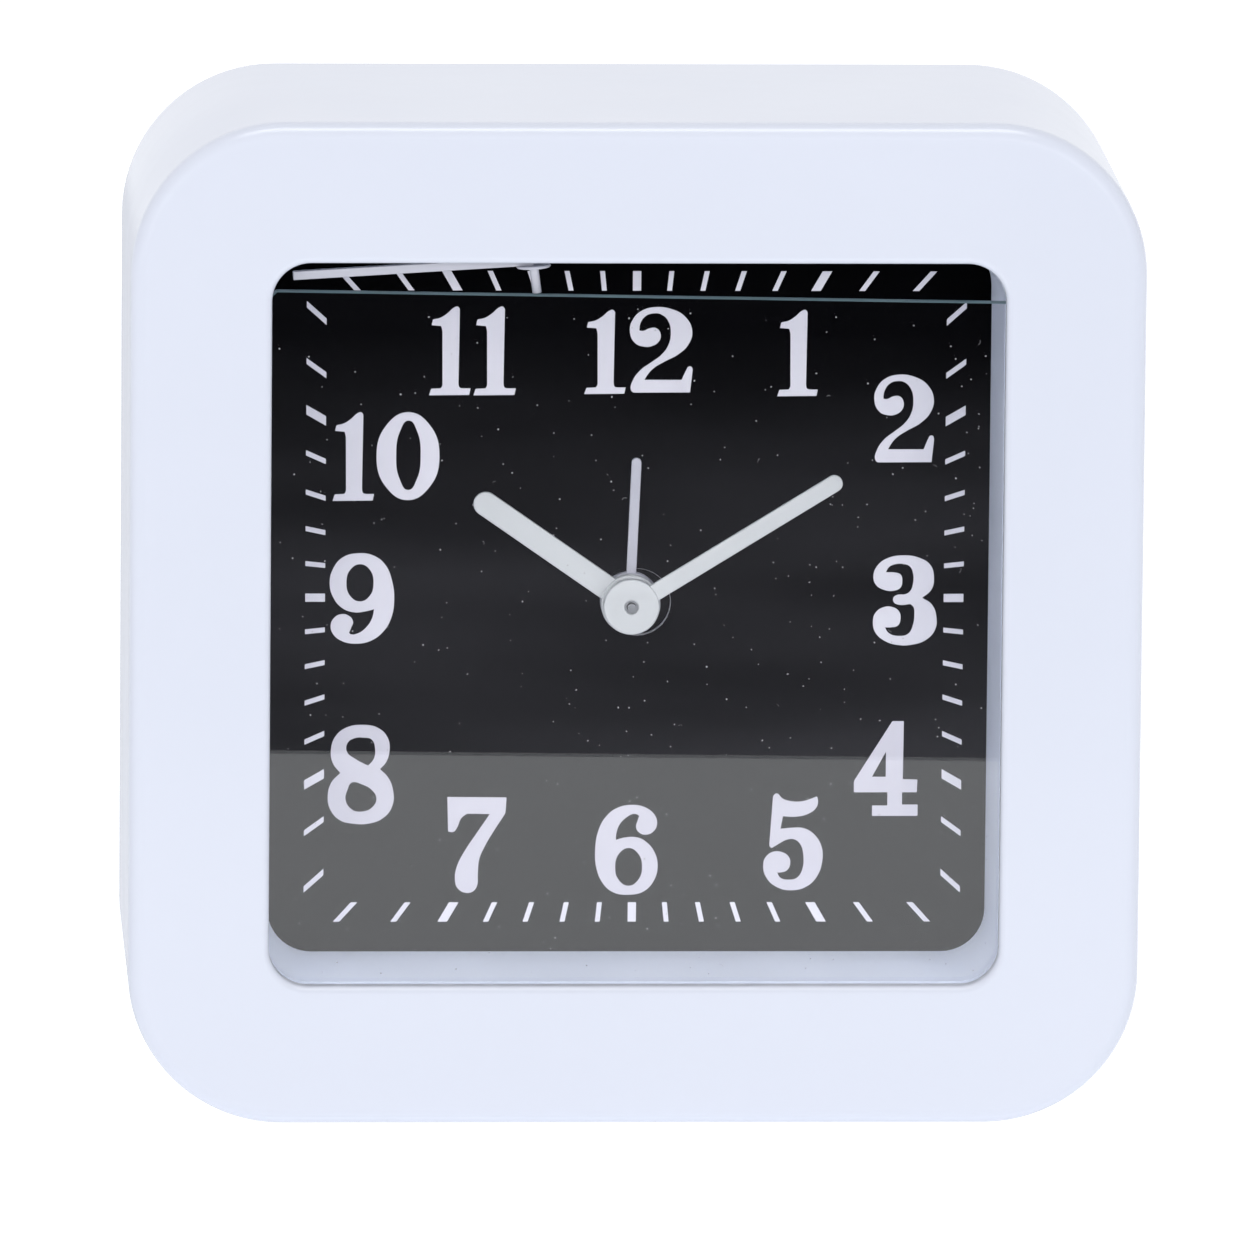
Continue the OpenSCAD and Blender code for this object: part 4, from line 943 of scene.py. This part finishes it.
def makeStage():
    s = stage
    half, low = s["floorHalf"], caseLow.z + s["lift"]
    pale, _, _ = newMaterial("pale_lit_table", {
        "Base Color": linear("#c8cbcf"), "Roughness": 0.8, "Emission Color": linear("#ffffff"),
        "Emission Strength": 0.66, "Specular IOR Level": 0.1})
    stagePlane("pale_floor", [(-half, -half), (half, -half), (half, half), (-half, half)],
               caseLow.z - s["floorDrop"], pale)
    # a dark flag before the clock that only reflections see, so the upper glass stays black
    slope = (s["paleLeft"] - s["paleRight"]) / (2 * s["spread"])
    middle = frontY - (s["paleLeft"] + s["paleRight"]) / 2
    wide, far = s["flagHalf"], -s["flagDepth"]
    dark, tree, shader = newMaterial("dark_flag_cloth", {"Roughness": 0.9, "Specular IOR Level": 0.0})
    place = addNode(tree, "ShaderNodeTexCoord")["Object"]
    along = addNode(tree, "ShaderNodeSeparateXYZ", {"Vector": place})["Y"]
    cloud = addNode(tree, "ShaderNodeTexNoise", {"Vector": place, "Scale": 9.0, "Detail": 2.0})
    fade = addNode(tree, "ShaderNodeMapRange", {
        "Value": along, "From Min": frontY - s["fadeFrom"], "From Max": middle})
    tone = addNode(tree, "ShaderNodeMix", {
        "Factor": fade["Result"], "A": linear("#232327"), "B": linear("#92929a")}, data_type="RGBA")
    depth = addNode(tree, "ShaderNodeMapRange", {
        "Value": cloud["Fac"], "From Min": 0.35, "From Max": 0.65, "To Min": 0.6, "To Max": 1.25})
    cloudy = addNode(tree, "ShaderNodeVectorMath", {
        0: tone["Result"], "Scale": depth["Result"]}, operation="SCALE")
    tree.links.new(cloudy["Vector"], shader.inputs["Base Color"])
    corners = [(-wide, far), (wide, far), (wide, middle + slope), (-wide, middle - slope)]
    flag = stagePlane("dark_flag", corners, low, dark)
    flag.visible_camera = flag.visible_diffuse = flag.visible_shadow = False
    # a grey card that only the left side's grazing reflection sees, so that side reads against the table
    left, right, near, behind = s["cardLeft"], caseLow.x - s["cardGap"], s["cardFront"], s["cardBack"]
    grey, _, _ = newMaterial("grey_card_paper", {"Base Color": linear("#f4f5f7"), "Roughness": 0.9})
    card = stagePlane("grey_card", [(left, near), (right, near), (right, behind), (left, behind)], low, grey)
    card.visible_camera = card.visible_diffuse = card.visible_shadow = card.visible_transmission = False


# White area lamps in metres and watts, of which the softboxes light the clock without showing in its gloss
lamps = {
    "left_softbox": {"place": (-0.85, -1.7, 0.38), "aim": (0, 0, 0.056), "size": (1.2, 0.55), "power": 9.0,
                     "inGloss": False},
    "right_softbox": {"place": (0.6, -1.7, 0.38), "aim": (0, 0, 0.056), "size": (1.0, 0.55), "power": 8.0,
                      "inGloss": False},
    "top_strip": {"place": (0, -0.48, 1.4), "aim": (0, 0, 0.05), "size": (0.9, 0.5), "power": 6.9,
                  "inGloss": True}}
room = {"colour": "#f7f8fb", "before": 0.2, "behind": 1.18}


def makeLight():
    for name, look in lamps.items():
        lamp = bpy.data.lights.new(name, "AREA")
        lamp.shape = "RECTANGLE"
        lamp.size, lamp.size_y = look["size"]
        lamp.energy = look["power"]
        holder = addObject(name, lamp)
        holder.location = look["place"]
        holder.visible_glossy = look["inGloss"]
        ahead = Vector(look["aim"]) - Vector(look["place"])
        holder.rotation_euler = ahead.to_track_quat("-Z", "Y").to_euler()
    # a pale room that is brighter behind the clock
    world = bpy.data.worlds.new("soft_studio")
    world.use_nodes = True
    tree = world.node_tree
    way = addNode(tree, "ShaderNodeTexCoord")
    parts = addNode(tree, "ShaderNodeSeparateXYZ", {"Vector": way["Generated"]})
    glow = addNode(tree, "ShaderNodeMapRange", {
        "Value": parts["Y"], "From Min": -1.0, "From Max": 1.0, "To Min": room["before"],
        "To Max": room["behind"]})
    background = tree.nodes["Background"]
    tree.links.new(glow["Result"], background.inputs["Strength"])
    background.inputs["Color"].default_value = linear(room["colour"])
    bpy.context.scene.world = world
    bpy.context.scene.view_settings.view_transform = "Standard"


# Camera at the photograph's angle, 2 m away
view = {"place": (-0.1011, frontY - 2.0, axisZ + 0.3461), "azimuth": 2.871, "elevation": 9.815, "roll": 0.51,
        "lens": 526.3, "sensor": 36}


def makeCamera():
    az, el, roll = (math.radians(view[k]) for k in ("azimuth", "elevation", "roll"))
    ahead = Vector((math.sin(az) * math.cos(el), math.cos(az) * math.cos(el), -math.sin(el)))
    right = Vector((math.cos(az), -math.sin(az), 0))
    up = right.cross(ahead)
    right, up = math.cos(roll) * right + math.sin(roll) * up, math.cos(roll) * up - math.sin(roll) * right
    lens = bpy.data.cameras.new("photo_camera")
    lens.lens = view["lens"]
    lens.sensor_width = view["sensor"]
    camera = addObject("photo_camera", lens)
    turn = Matrix((right, up, -ahead)).transposed().to_4x4()
    camera.matrix_world = Matrix.Translation(view["place"]) @ turn
    bpy.context.scene.camera = camera


makeStage()
makeLight()
makeCamera()
print("stage, light and camera made")
